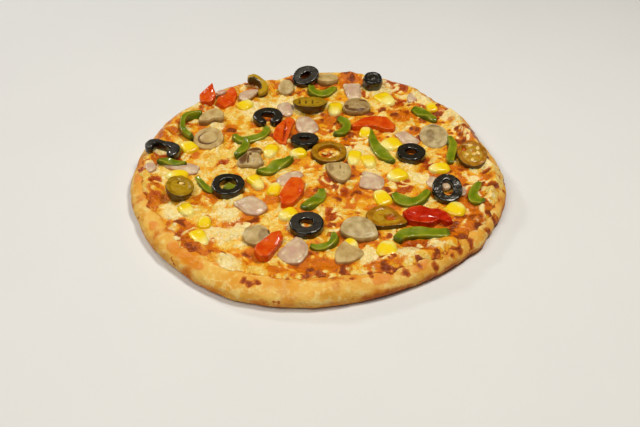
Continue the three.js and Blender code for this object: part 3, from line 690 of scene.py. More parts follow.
BROWN_AREAS = np.array([
    (56, -84, 2.6), (68, -71, 3), (78, -67, 2), (40, -86, 2), (13, -83, 2.6), (19, 95, 2.2),
    (-46, -73, 1.6), (-36, -72, 2), (-33, -48, 2.2), (-70, -50, 2.4), (20, -26, 2.2), (92, -8, 2.2),
    (88, 33, 2.2), (84, 22, 1.8), (-24, -63, 1.6), (48, -80, 1.8), (33, -84, 2), (93, -22, 2),
    (88, -43, 1.8), (58, -74, 1.8), (10, -30, 2), (30, 52, 2.2), (38, 56, 2.2), (46, 50, 2.2),
    (-10, -62, 1.6), (-4, -84, 1.8), (24, -88, 1.6), (95, 5, 1.8), (98, 3, 1.6), (71, 46, 1.6),
    (-28, 28, 2), (-36, 44, 2), (-50, 34, 2.2), (-44, 10, 1.8),
])
PALE_AREAS = np.array([
    (43, -74, 7), (24, -76, 6), (57, -67, 5), (-13, -53, 5), (-46, -42, 9), (-52, -58, 8), (-76, -42, 6),
    (-88, 14, 5), (-92, -4, 5), (-60, 38, 6), (-40, 56, 9), (22, 12, 6), (38, 78, 7), (66, 68, 5),
    (78, 48, 6), (-60, -86, 6), (-44, -80, 8), (94, -2, 4), (84, -14, 4), (-40, -56, 9), (10, 60, 6),
    (-78, -60, 7), (22, -90, 5), (84, -58, 4), (30, -6, 4), (-22, 62, 6), (56, -12, 5),
])


def shred_heights(points, count):
    """Half-melted shreds, as low ridges that lie this way and that."""
    heights = np.zeros(len(points))
    places = DRAW.uniform(-95, 95, (count, 2))
    headings = DRAW.uniform(0, np.pi, count)
    lengths = DRAW.uniform(4, 12, count)
    widths = DRAW.uniform(0.8, 1.5, count)
    for place, heading, length, width in zip(places, headings, lengths, widths):
        away = points[:, :2] - place
        near = np.hypot(*away.T) < length
        along = away[near] @ (np.cos(heading), np.sin(heading))
        across = away[near] @ (-np.sin(heading), np.cos(heading)) - 0.05 * along ** 2 * np.sin(length)
        ends = smooth(length / 2, length / 2 - 2, np.abs(along))
        heights[near] = np.maximum(heights[near], ends * np.exp(-((across / width) ** 2)))
    return heights


def random_blisters(count):
    radius = np.sqrt(DRAW.uniform(0, 1, count)) * 97
    degrees = DRAW.uniform(0, 360, count)
    return np.column_stack([radius[:, None] * around(degrees), DRAW.uniform(0.9, 2.4, count)])


def nearness(points, contacts, reach):
    """1 at the contacts and falling off over a reach, for points in the plane."""
    tree = kdtree.KDTree(len(contacts))
    for i, (x, y) in enumerate(contacts.tolist()):
        tree.insert((x, y, 0), i)
    tree.balance()
    away = np.array([tree.find((x, y, 0))[2] for x, y in points.tolist()])
    return np.exp(-((away / reach) ** 2))


def disc_grid(cells):
    """Headings and shares of the radius for the points of a square grid that is bent to a disc."""
    place = np.linspace(-1, 1, cells + 1)
    x, y = (values.reshape(-1) for values in np.meshgrid(place, place))
    with np.errstate(divide="ignore", invalid="ignore"):
        wide = 45 * y / x + np.where(x < 0, 180, 0)
        tall = 90 - 45 * x / y + np.where(y < 0, 180, 0)
    degrees = np.nan_to_num(np.where(np.abs(x) >= np.abs(y), wide, tall))
    return degrees, np.maximum(np.abs(x), np.abs(y))


def grid_form(points, height, floor, marks):
    """A closed form under a square grid of points, with a skirt down to a flat floor."""
    side = round(len(points) ** 0.5)
    index = np.arange(len(points)).reshape(side, side)
    quads = np.stack([index[:-1, :-1], index[:-1, 1:], index[1:, 1:], index[1:, :-1]], axis=-1)
    border = np.concatenate([index[0], index[1:, -1], index[-1, -2::-1], index[-2:0:-1, 0]])
    lower = len(points) + np.arange(len(border))
    skirt = np.stack([border, lower, np.roll(lower, -1), np.roll(border, -1)], axis=-1)
    faces = quads.reshape(-1, 4).tolist() + skirt.tolist() + [lower[::-1].tolist()]
    top = np.column_stack([points, height])
    base = np.column_stack([points[border] * 0.99, np.full(len(border), floor)])
    marks = {name: np.concatenate([values, values[border]]) for name, values in marks.items()}
    return Form(np.concatenate([top, base]), faces, **marks)


def cheese_form(contacts):
    degrees, share = disc_grid(CHEESE_CELLS)
    ring = around(degrees)
    ragged = 3 * noise(ring * 90, 9, 21) + 1.9 * noise(ring * 90, 3.5, 22)
    reach = outline(degrees) * cheese_reach(degrees) + ragged * smooth(0.6, 1, share)
    points = ring * (share * reach)[:, None]
    x, y = points.T

    frayed = warped(points, 5, 2.2, 71)
    blisters = np.concatenate([random_blisters(420), edge_blisters(50, -135, -50, 0.83, 0.9),
                               edge_blisters(46, -50, 60, 0.84, 0.95)])
    bumps = spots(points, np.concatenate([blisters, BROWN_AREAS]))
    shreds = shred_heights(points, 620)
    zone = fractal(points, 17, 3, 31)
    lumps = 0.65 * fractal(points, 7.5, 2, 41) + 0.3 * noise(points, 3.2, 43)
    pale, orange, sauce = (spots(frayed, areas) for areas in (PALE_AREAS, ORANGE_AREAS, SAUCE_AREAS))
    edge = smooth(1, 0.955, share)
    cling = nearness(points, contacts, 2.2)
    height = cheese_top(x, y) + edge * (lumps + 0.55 * shreds + 0.5 * bumps + 0.3 * pale - 0.5 * sauce)
    height += 0.5 * edge * cling - 0.95 * (1 - edge) + front_fill(points)

    front = smooth(-25, -60, degrees) * smooth(-160, -130, degrees)
    left_front = smooth(10, -40, x + 0.4 * y)
    rim_side = share + 0.03 * noise(frayed, 7, 81)
    baked_edge = smooth(0.84, 0.92, rim_side) * smooth(0.985, 0.94, rim_side + 0.02 * (1 - front))
    brink = smooth(0.955, 0.985, share + 0.012 * noise(points, 4, 83))
    pale_rim = smooth(0.82, 0.92, share) * np.maximum(smooth(40, 70, y), smooth(60, 85, x))
    # Near the toppings the cheese is painted warmer through cling: partly oil gathered round them, partly
    # painted shade where they sit on it.
    warm = (0.5 + 0.8 * zone - 0.3 * shreds + 0.5 * baked_edge - 0.25 * left_front
            - 0.45 * np.maximum(pale, pale_rim) + 0.2 * cling)
    bake = 0.72 * spots(points, blisters) * smooth(0.2, 0.6, warm) * (1 - 0.5 * left_front)
    bake = np.maximum(bake, spots(frayed, BROWN_AREAS)) + 0.1 * baked_edge * (0.4 + front) + 0.24 * brink
    creamy = 0.8 * pale + 0.25 * pale_rim + 0.45 * shreds * (1 - 0.6 * orange)
    return grid_form(points, height, DOUGH_THICKNESS - 0.5, {
        "warm": np.clip(np.maximum(warm, orange), 0, 1.2),
        "bake": np.clip(bake - 0.25 * pale, 0, 1.2),
        "oil": np.clip(orange + 0.4 * smooth(0.3, 0.9, zone) + 0.4 * sauce, 0, 1),
        "sauce": np.clip(sauce - 0.4 * shreds, 0, 1),
        "pale": np.clip(creamy, 0, 1),
        "relief": np.clip(lumps + 0.8 * shreds - 0.25, -1, 1.2),
    })


# Slices, rings and strips

RING_SIDES = 84
SIDE_ROWS = 9
UNDER_SHARES = (0.35, 0.65, 0.85)
CONTACT_HEIGHT = 0.3
CONTACT_SPREAD = 0.5
SEED_RADII = (1.6, 1.1, 0.55)


def rounded_rows(edge, top, top_rows=16):
    """Rows of (share of the outline, share of the thickness) from the middle of the underside,
    round the edge, to the middle of the top, where top gives the height at a share."""
    first, second, third = UNDER_SHARES
    below = [(share, 0.0) for share in (first, second, third * edge)]
    turn = np.linspace(-1, 1, SIDE_ROWS) * np.pi / 2
    bulge = np.cos(turn) ** 0.8
    side = [(edge + (1 - edge) * b, 0.5 + 0.5 * np.sin(t) * top(edge)) for b, t in zip(bulge, turn)]
    above = [(share, top(share)) for share in edge * np.linspace(1, 0.04, top_rows)[1:]]
    return np.array(below + side + above)


def slice_points(piece, rows):
    """Points of a slice about its own middle, the share of each row as a column, and the middle."""
    corners = np.asarray(piece["corners"], float)
    x, y = corners.T
    if (x * np.roll(y, -1) - y * np.roll(x, -1)).sum() < 0:
        corners = corners[::-1]
    center = corners.mean(axis=0)
    places = np.arange(RING_SIDES) / RING_SIDES
    numbers = np.arange(len(corners) + 1)
    straight = np.stack([np.interp(places * len(corners), numbers, np.append(side, side[0]))
                         for side in corners.T], axis=1)
    edge = mixed(catmull_rom(corners, True, places), straight, piece.get("sharp", 0)) - center
    share, rise = rows.T[..., None]
    points = np.zeros((len(rows), RING_SIDES, 3))
    points[..., :2] = share[..., None] * edge
    points[..., 2] = rise * piece["thickness"] + piece.get("bow", 0) * (1 - share ** 2)
    return points, share, center


def settle(points, center, piece):
    """Leans points about their own middle, then sets them on the cheese there."""
    lean = np.radians(piece.get("lean", 0))
    local = points - (0, 0, piece["thickness"] / 2)
    out = np.append(around(piece.get("towards", 0)), 0)
    along, height = local @ out, local[..., 2]
    local = local + (along * (np.cos(lean) - 1) + height * np.sin(lean))[..., None] * out
    local[..., 2] = height * np.cos(lean) - along * np.sin(lean)
    base = cheese_top(*center) - SINK + piece.get("lift", 0)
    return local + (*center, base + piece["thickness"] / 2)


def long_axis(points):
    """Distances along and across the longest way of a flat form."""
    values, ways = np.linalg.eigh(np.cov(points[..., :2].reshape(-1, 2).T))
    return points[..., :2] @ ways[:, 1], points[..., :2] @ ways[:, 0]


def roughen(form, size, wave, seed):
    return form.push(size * fractal(form.vertices, wave, 3, seed))


def touching(form):
    """Places in the plane where a form meets the cheese."""
    x, y, z = form.vertices.T
    return form.vertices[np.abs(z - cheese_top(x, y) - CONTACT_HEIGHT) < CONTACT_SPREAD, :2]


def dips(points, table):
    """1 inside the ellipses of a table of x, y and two radii, with soft edges."""
    total = np.zeros(points.shape[:2])
    for x, y, reach_x, reach_y in table:
        away = np.hypot((points[..., 0] - x) / reach_x, (points[..., 1] - y) / reach_y)
        total = np.maximum(total, smooth(1.25, 0.6, away))
    return total


def upper_face(share):
    """1 for the rows of a slice that lie on its upper face, as a column."""
    return (np.arange(len(share)) >= len(UNDER_SHARES) + SIDE_ROWS)[:, None].astype(float)


def onion(piece, seed):
    rows = rounded_rows(0.93, lambda share: 1 + 0.12 * (1 - share ** 2) - 0.3 * smooth(0.7, 1, share))
    points, share, center = slice_points(piece, rows)
    along, across = long_axis(points)
    waves = np.sin(across * 0.9 + np.sin(along * 0.4) + seed)
    points[..., 2] += 0.1 * upper_face(share) * (1 - share ** 4) * waves
    form = rows_form(settle(points, center, piece), share=share, along=along, across=across)
    return roughen(form, 0.35, 8, seed)


def tomato(piece, seed):
    rows = rounded_rows(0.95, lambda share: 1 - 0.1 * (1 - smooth(0.5, 0.85, share)))
    points, share, center = slice_points(piece, rows)
    along, across = long_axis(points)
    top = upper_face(share)
    fold = np.exp(-((across - 0.1 * along - piece.get("fold_at", 0)) / 0.7) ** 2) * top
    # Along the fold the tomato is sunk and painted dark, a painted shade line in the crease.
    dark = fold * piece.get("fold", 0) * (1 - share ** 3)
    points[..., 2] += 0.35 * top * np.sin(0.5 * along + seed) * (1 - share ** 2) - 0.9 * dark
    form = rows_form(settle(points, center, piece), deep=piece.get("deep", 0), dark=dark,
                     edge=smooth(0.8, 0.95, share) * top)
    return roughen(form, 0.5, 8, seed)


def mushroom(piece, seed):
    """A slice with gills and creases where its tables put them, and a stem ring if it has one."""
    rows = rounded_rows(0.93, lambda share: 1 - 0.12 * smooth(0.6, 1, share), top_rows=28)
    points, share, center = slice_points(piece, rows)
    x, y = points[..., 0], points[..., 1]
    angle = np.arctan2(y, x)
    top = upper_face(share)
    gill, crease, shade, dome = (dips(points, piece.get(name, []))
                                 for name in ("gills", "creases", "shades", "domes"))
    gill = gill * np.maximum(top, 0.8 * (share > 0.9))
    crease = crease * top
    groove = piece.get("stem", 0) * np.exp(-((share - 0.6 - 0.04 * np.sin(2 * angle + 1)) / 0.05) ** 2) * top
    groove = groove * (0.6 + 0.4 * np.cos(angle - np.radians(225)))
    button = piece.get("stem", 0) * smooth(0.6, 0.5, share) * top
    ribs = piece.get("ribs", 0) * top * (0.5 + 0.5 * np.sin(1.5 * x + 0.5 * y)) * smooth(1, 0.5, share)
    # The dark mark paints shade in the creases and in the stem ring's groove, and paints the groove darker
    # towards the lower left; ribs and brown add the mushroom's own darker tones.
    dark = 0.8 * groove + 0.75 * crease + 0.15 * ribs + 0.5 * shade * top + piece.get("brown", 0)
    sunk = 0.5 * groove + gill * (0.3 + 0.15 * np.sin(5 * x + 3 * y)) + 0.5 * crease
    points[..., 2] += 0.25 * ribs + 0.3 * button + 0.8 * dome * top - sunk
    form = rows_form(settle(points, center, piece), dark=np.clip(dark, 0, 1), gill=gill, rise=rows[:, 1],
                     ashen=piece.get("ashen", 0))
    return roughen(form, piece.get("rough", 0.4), 7, seed)


def jalapeno(piece, seed):
    """A slice with a thin skin, flesh inside it, and pits round its pale heart."""
    rows = rounded_rows(0.95, lambda share: 1 - 0.07 * smooth(0.74, 0.66, share), top_rows=40)
    points, share, center = slice_points(piece, rows)
    points[..., :2] *= (1 - piece.get("taper", 0.1) * (1 - np.clip(rows[:, 1], 0, 1)))[:, None, None]
    top = upper_face(share)
    # Pits are sunk, and they and the slot lines, which are only painted, take the pit colour: painted shade
    # in a green slice, orange flesh in a red one.
    pit, lines = (dips(points, piece.get(name, [])) * top for name in ("pits", "lines"))
    points[..., 2] -= 0.35 * piece["thickness"] * pit
    groove = np.exp(-((share - 0.74) / 0.04) ** 2) * top
    skin = np.maximum(smooth(0.93, 0.97, share), 1 - top) + 0.35 * groove
    form = rows_form(settle(points, center, piece), wall=skin, pit=np.maximum(pit, 0.7 * lines),
                     vein=0.7 * smooth(0.72, 0.64, share) * top * (1 - pit), ruddy=piece.get("ruddy", 0))
    return roughen(form, 0.35, 5, seed)


def superellipse(angle, power):
    cosine, sine = np.cos(angle), np.sin(angle)
    return np.sign(cosine) * np.abs(cosine) ** power, np.sign(sine) * np.abs(sine) ** power


def turned_to(points, heading):
    """Points turned about Z by a heading in degrees."""
    cosine, sine = around(heading)
    x, y = points[..., 0], points[..., 1]
    return np.stack([x * cosine - y * sine, x * sine + y * cosine, points[..., 2]], axis=-1)


def ring_points(piece, section_points=30, power=0.45):
    """Points of a ring set on the cheese, and the share across and rise of each row of its section."""
    turn = (np.arange(section_points) / section_points - 0.75) * 2 * np.pi
    out, up = superellipse(turn, power)
    share, rise = 0.5 + 0.5 * out, 0.5 + 0.5 * up
    points = np.zeros((section_points, RING_SIDES, 3))
    radii = mixed(np.array(piece["hole"]), np.array(piece["outer"]), share[:, None])
    points[..., :2] = radii[:, None] * around(np.arange(RING_SIDES) / RING_SIDES * 360)
    points[..., 2] = (rise * piece["thickness"])[:, None]
    return turned_to(points, piece.get("turn", 0)), share, rise


def olive_ring(piece, seed):
    points, share, rise = ring_points(piece)
    face = smooth(0.9, 1, rise) * smooth(0.0, 0.15, share) * smooth(1.0, 0.85, share)
    points[..., 2] -= (0.25 * face * np.sin(np.pi * share))[:, None]
    form = rows_form(settle(points, piece["at"], piece), hollow=True, face=face, matt=piece["matt"])
    return roughen(form, 0.3, 7, seed)


def jalapeno_ring(piece, seed):
    points, share, rise = ring_points(piece)
    wall = np.maximum(smooth(0.88, 1, share), smooth(0.4, 0.15, rise))
    # The inner wall of the hole takes the pit colour, painted shade inside the hole.
    form = rows_form(settle(points, piece["at"], piece), hollow=True, wall=0.9 * wall,
                     pit=0.4 * smooth(0.2, 0, share), vein=0.6 * smooth(0.5, 0.1, share) * rise,
                     ruddy=piece.get("ruddy", 0))
    return roughen(form, 0.35, 5, seed)


def strip_points(piece, sides=28, steps=64, power=0.55, seed=0):
    """Points of a strip bent along its path, with the side's and the height's share of each point of
    its section, and how far each row is from an end, in half widths."""
    path = np.array([(*place, 0)[:3] for place in piece["path"]], float)
    places = 0.5 - 0.5 * np.cos(np.linspace(0.02, 0.98, steps) * np.pi)
    middle, heading, length = along_curve(path, places)
    widths = np.interp(places, np.linspace(0, 1, len(piece["widths"])), piece["widths"])
    from_end = np.minimum(places, 1 - places) * length / (0.5 * widths)
    rounding = np.clip(from_end / piece.get("blunt", 1), 0, 1)
    rounding = np.sqrt(1 - (1 - rounding) ** 2) ** 0.8
    widths = widths * (1 - piece.get("point", 0) * smooth(2.4, 0.2, from_end))
    across, above = superellipse(-np.arange(sides) / sides * 2 * np.pi, power)
    flat = (rounding * widths / 2)[:, None] * across
    high = (rounding * piece["thickness"] / 2)[:, None] * above
    twist = piece.get("twist", 0) * np.sin(2.2 * np.pi * places + seed)[:, None]
    side = np.stack([heading[:, 1], -heading[:, 0], np.zeros(steps)], axis=1)
    points = middle[:, None] + (flat * np.cos(twist) - high * np.sin(twist))[..., None] * side[:, None]
    base = cheese_top(*middle[:, :2].T) - SINK + piece.get("lift", 0) + middle[:, 2]
    points[..., 2] = (base + piece["thickness"] / 2)[:, None] + flat * np.sin(twist) + high * np.cos(twist)
    return points, across[None], above[None], from_end[:, None]


def pepper(piece, seed):
    points, across, above, from_end = strip_points(piece, power=0.38, seed=seed)
    points[..., 2] -= 0.45 * np.exp(-(across / 0.5) ** 2) * (above > 0.5)
    ridge = np.exp(-((np.abs(across) - 0.8) / 0.18) ** 2) * (above > 0.3)
    form = rows_form(points, rise=0.5 + 0.5 * above, end=smooth(1.2, 0.2, from_end), ridge=ridge)
    return roughen(form, 0.35, 8, seed)


def open_olive(piece, seed):
    points, across, above, _ = strip_points(piece, power=0.4)
    face = smooth(0.75, 1, above) * smooth(1, 0.8, np.abs(across))
    return roughen(rows_form(points, face=face, matt=piece["matt"]), 0.3, 7, seed)


def olive_end(piece, seed):
    rows = rounded_rows(0.8, lambda share: 1 - 0.25 * smooth(0.5, 0.15, share), top_rows=20)
    points, share, center = slice_points(piece, rows)
    form = rows_form(settle(points, center, piece), face=smooth(0.75, 0.6, share) * upper_face(share),
                     matt=piece["matt"])
    return roughen(form, 0.5, 7, seed)


def jalapeno_strip(piece, seed):
    points, across, above, _ = strip_points(piece)
    # The lower part of one side takes the pit colour, painted shade low on the strip.
    form = rows_form(points, wall=smooth(0.2, 0.8, across), vein=smooth(0.3, 0.9, above), ruddy=0,
                     pit=0.8 * smooth(-0.5, -0.95, across) * smooth(0.6, 0.1, above))
    return roughen(form, 0.35, 5, seed)


def bead(radii, squareness=1.0, taper=0.0, levels=20, sides=32):
    """Rows of a rounded bead about the origin, narrower towards +X if it tapers."""
    latitude = np.linspace(-0.5, 0.5, levels)[1:-1] * np.pi
    turn = np.arange(sides) / sides * 2 * np.pi
    out, up = (values[:, None] for values in superellipse(latitude, squareness))
    forward, side = superellipse(turn, squareness)
    side = side * (1 - taper * np.cos(turn) * np.cos(latitude)[:, None])
    return np.stack([out * forward, out * side, np.broadcast_to(up, side.shape)], axis=-1) * radii


def seeds_of(piece):
    """The seeds in a slice: x, y, height above its underside, heading."""
    middle = np.mean(piece["corners"], axis=0) if "corners" in piece else piece["at"]
    forms = []
    for x, y, height, heading in piece["seeds"]:
        rows = turned_to(bead(SEED_RADII, taper=0.25, levels=12, sides=18), heading)
        forms.append(rows_form(settle(rows + (x, y, height), middle, piece)))
    return forms


# Sweetcorn

KERNEL_HEIGHT = 6.2
KERNEL_SQUARENESS = 0.72
KERNEL_TAPER = 0.22

# Kernels: x, y, length, width, heading of the narrow tip in degrees
KERNELS = [
    (-44.5, 60, 11, 9, 50), (-74, 16, 12, 9, 130), (-77, -11, 13, 9, 180), (-27, 11.5, 13, 8, 255),
    (-11.5, 9.5, 10, 8.5, 200), (-33.5, -17, 13, 7.5, 300), (-23.5, -22.5, 11, 7, 80),
    (-15.5, -44, 11, 9, 215), (-68, -40.5, 10.5, 8, 300), (-57.5, -50.5, 9.5, 7, 90),
    (-59, -62.5, 14, 8.5, 300), (10, 56, 14, 9, 265), (41, 67.5, 15, 11, 300), (68.5, 57, 10, 7, 100),
    (27.5, 30.5, 11, 7.5, 80), (41.5, 18.5, 13, 11.5, 210), (20, 5.5, 14, 8, 260),
    (28, 2, 12, 8, 280), (43, -10, 12, 10, 210), (66.5, -5, 12, 8.5, 190), (33.5, -30, 13, 9, 110),
    (71, -40, 11.5, 10.5, 60), (33.5, -71, 12, 10.5, 80), (16.5, -66, 8, 5.5, 310),
]


def kernel(x, y, length, width, heading):
    rows = bead((1, 1, 1), KERNEL_SQUARENESS, KERNEL_TAPER)
    forward, side, up = np.moveaxis(rows, -1, 0)
    dent = np.exp(-(((forward + 0.35) / 0.4) ** 2 + (side / 0.5) ** 2)) * (up > 0)
    shaped = rows * (length / 2, width / 2, KERNEL_HEIGHT / 2)
    shaped[..., 2] -= 0.6 * dent
    return rows_form(turned_to(shaped, heading) + (x, y, cheese_top(x, y)), tip=0.5 + 0.5 * forward)


# Toppings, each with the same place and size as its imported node

PEPPERS = {
    "left_upper": dict(point=0, widths=(3, 3.2, 3.2, 3.4, 3), thickness=6.5, path=[(-69, 46),
        (-75.5, 45.5), (-80, 40), (-79.5, 32.5), (-76.5, 26), (-72, 23)]),
    "vee_a": dict(widths=(4, 6, 5, 5, 4), path=[(-49, 27.5), (-47, 23.5), (-43, 21.5), (-37, 23.5),
        (-32, 27), (-30, 31.5), (-31, 36.5)]),
    "vee_b": dict(widths=(3.5, 4.5, 5, 6), thickness=4.5, lift=0.8, path=[(-41, 21.5), (-41, 17),
        (-43, 10.5), (-46, 5)]),
    "left_small": dict(widths=(7, 5, 4, 3), thickness=3.5, lift=1.5, path=[(-89.5, 1), (-85, 0.5),
        (-79, -2), (-72.5, -2.5)]),
    "mid": dict(widths=(5, 6.5, 7, 6, 4), path=[(-14.5, 5.5), (-17, 2), (-23, -2.5), (-27, -7.5),
        (-34, -8.5)]),
    "back": dict(widths=(5, 6, 5.5, 4.5), thickness=4.5, path=[(-5, 80), (-4, 74), (1, 71), (6, 73),
        (11, 79)]),
    "center_back": dict(widths=(6, 6, 5, 5, 5), thickness=4.5, path=[(11, 45.5), (15, 42.5), (16.5, 36),
        (14, 30), (9, 27)]),
    "crescent": dict(widths=(1.2, 4.5, 6, 7, 5), path=[(30.5, 33), (31, 23), (33.5, 13), (38, 5),
        (42, 0.5)]),
    "right_back": dict(widths=(6, 8, 7.5, 6), path=[(56.5, 55), (61, 51.5), (66, 46.5), (69.5, 41.5)]),
    "right_mid": dict(widths=(4, 5, 5.5, 5), path=[(75.5, 26), (76.5, 18), (75, 8.5), (73, 0)]),
    "right_u": dict(widths=(5, 6.5, 7, 6, 4), path=[(39.5, -26.5), (43, -32.5), (48, -35), (54, -32),
        (58.5, -25.5)]),
    "right_c": dict(widths=(3, 4.5, 5, 6.5, 6), path=[(87, -17.5), (82.5, -24.5), (81.5, -30.5),
        (84, -35), (86.5, -36)]),
    "front_right": dict(point=0, blunt=0.5, twist=0.1, thickness=4.5, widths=(5, 6.5, 7, 7, 6.5),
        path=[(38.5, -65), (42, -60.5), (50, -59), (58, -59.5), (65.5, -59.5)]),
    "center_small": dict(widths=(5, 6, 8, 7), path=[(2, -23), (1, -29), (-4, -35.5), (-8.5, -40)]),
    "front_curl": dict(widths=(3.5, 4.5, 4, 4, 3), path=[(7, -58.5), (8, -63.5), (5, -68), (0, -69.5),
        (-4, -68)]),
}

ONIONS = {
    "back_left": dict(lift=1.8, bow=0.6, corners=[(-49, 70), (-45, 73), (-41, 75), (-37, 74), (-40, 68.5),
        (-44.5, 62.5), (-48.5, 63.5)]),
    "back_mid": dict(bow=0.5, corners=[(-25, 60.5), (-20, 64), (-15.5, 60.5), (-14.5, 54.5), (-16, 49),
        (-20, 48), (-23.5, 53)]),
    "back_right": dict(bow=0.6, corners=[(16, 85), (26.5, 85), (27, 75.5), (26, 68), (18.5, 67.5),
        (16.5, 76)]),
    "center": dict(bow=0.8, corners=[(-12, 47), (-5.5, 47), (-0.5, 38.5), (0, 33), (-4, 29.5),
        (-10, 29.5), (-13.5, 37)]),
    "mid_right": dict(bow=0.6, corners=[(44, 29.5), (50, 32.5), (55, 27.5), (58.5, 21.5), (56, 18),
        (49, 18.5), (46, 25)]),
    "left": dict(bow=0.6, corners=[(-86, -0.5), (-78, 0.5), (-70, 0), (-65.5, -3), (-66.5, -9),
        (-70, -9.5), (-77, -6), (-83, -4)]),
    "mid": dict(bow=0.5, corners=[(-23, -13.5), (-18, -7.5), (-10, -6), (-8, -9.5), (-12, -14),
        (-18, -19), (-22, -17.5)]),
    "mid_left": dict(bow=1.2, corners=[(-44, -34), (-36.5, -28.5), (-30, -31.5), (-26, -39), (-31, -44.5),
        (-37, -43), (-43, -37)]),
    "center_right": dict(bow=0.8, corners=[(25, -6.5), (35.5, -13), (35.5, -19.5), (32, -23.3),
        (22, -20.5), (22.5, -14)]),
    "front": dict(bow=1, corners=[(-10.5, -61.5), (-5, -67), (-5, -74.5), (-9, -80.7), (-16, -80.2),
        (-20, -74.5), (-16, -67)]),
}

TOMATOES = {
    "back_left_a": dict(towards=-90, lean=16, lift=0.6, corners=[(-73, 64), (-69, 69), (-65.5, 74),
        (-63, 64), (-65, 58.5), (-71, 58.5)]),
    "back_left_b": dict(towards=-60, lean=8, lift=0.4, corners=[(-57, 73), (-53.5, 76.5), (-50.5, 70),
        (-51.5, 62), (-57, 56.5), (-62.5, 60), (-62, 65), (-58, 68)]),
    "center": dict(thickness=4, fold=0.9, corners=[(-17, 45), (-14, 41.5), (-16, 33), (-17.5, 23.5),
        (-18.5, 17), (-22, 18), (-26.5, 25), (-25, 34), (-21, 41)]),
    "right_back": dict(bow=0.6, corners=[(19.5, 37), (25, 43), (33, 45.5), (40, 44), (45.5, 36), (44, 31),
        (40, 31), (33, 34.5), (26, 34.5), (20, 34)]),
    "mid": dict(lift=0.4, corners=[(-14.5, -15), (-9, -15.5), (-7, -21), (-9, -31), (-13, -37.5),
        (-19, -38), (-20.5, -30.5), (-18, -23)]),
    "front_right": dict(bow=0.4, deep=1.0, fold=0.5, fold_at=2, corners=[(43, -44), (47, -40.5),
        (52, -38.7), (57, -41), (62, -41.5), (67, -46), (68, -51.5), (65, -52.5), (62, -49.8),
        (57, -53.3), (50, -52.5), (45, -50.5)]),
    "front": dict(thickness=5, lift=0.4, corners=[(-18.5, -60.5), (-17.3, -66), (-20, -72.5), (-24, -79),
        (-28, -79), (-31, -74), (-27, -67), (-23, -61.5)]),
}

MUSHROOMS = {
    "back_left": dict(thickness=5.5, towards=-90, lean=12, ashen=0.6, corners=[(-25, 75), (-25, 80),
        (-22, 84), (-18, 84), (-15.5, 79), (-17, 73), (-21, 71.5)]),
    "back": dict(thickness=6, corners=[(-1, 86), (0, 91), (6, 92.5), (12, 90.5), (12.5, 86), (8, 83.5),
        (2, 83.5)]),
    "left_upper": dict(thickness=5, lift=0.5, corners=[(-70.5, 40), (-68.5, 47), (-64, 51), (-59.5, 51),
        (-56.5, 46.5), (-57, 42), (-62, 41), (-65, 38.5), (-70, 38.5)]),
    "left_disc": dict(brown=0.2, thickness=4.5, stem=1.0, towards=-90, lean=9,
        corners=arc(-63.2, 23.5, 8.8, 9)),
    "tee": dict(brown=0.3, thickness=4.5, ashen=0.3, creases=[(-2.4, -2.4, 0.5, 4), (1.6, 4.2, 3.4, 0.5),
        (-1.6, 2.6, 0.8, 1.2)], domes=[(2.8, -1.6, 3.4, 4.6)], shades=[(-5.4, -0.5, 2.6, 7),
        (-0.5, 7.5, 6, 2.6)], corners=[(-44, -4), (-44.5, 1), (-41, 7), (-38.5, 12.5), (-34, 13.5),
        (-31.5, 11), (-33, 7), (-31, 3), (-30, -1.5), (-34, -4.5), (-39, -4)]),
    "back_right": dict(brown=0.45, thickness=5, ashen=0.2, domes=[(3.5, -2.5, 3.4, 2.6)],
        shades=[(-6.4, -2.4, 1.6, 2.6), (-3.4, -5.2, 3.4, 1.4), (3, -5.8, 3.6, 1.2),
        (5.2, 5.4, 3.2, 1.3)], corners=[(15, 56), (17, 62.5), (22, 65.5), (28, 64.5), (31, 59.5),
        (31.5, 54), (27, 50.5), (20, 50), (16, 52)]),
    "right_disc": dict(thickness=3, ashen=1.0, towards=-90, lean=11, lift=0.8, stem=0.12,
        shades=[(-2.4, 0, 3, 6), (1, 8, 4, 1.4)], corners=arc(67, 26, 8.4, 10)),
    "center": dict(thickness=4.5, ashen=0.3, creases=[(0.6, 2.6, 0.3, 2.4), (2.5, -2.5, 0.6, 0.6)],
        shades=[(-4.5, 2, 2, 5)], corners=[(4, -3), (4.5, -7), (8, -14.5), (13, -18.3), (17, -14),
        (18, -7), (16.5, -3), (10, -1.5)]),
    "front_left": dict(thickness=5, towards=-90, lean=6, ashen=0.5, gills=[(6.4, 2.5, 1.2, 2.6)],
        shades=[(3.4, -1, 3, 6)], corners=arc(-30.5, -61.5, 6.8, 6.8)),
    "front": dict(thickness=6, towards=-80, lean=8, ribs=0.35, ashen=0.8, corners=[(11, -56), (14, -51.5),
        (20, -50), (26, -52.5), (29, -58), (29.5, -62.5), (24, -64.5), (17, -64), (12, -61)]),
    "front_right": dict(thickness=4, rough=0.15, corners=[(13.5, -65), (17, -68), (22.3, -73.7),
        (17, -79.2), (9, -80.2), (8.5, -73), (10.5, -68)]),
}

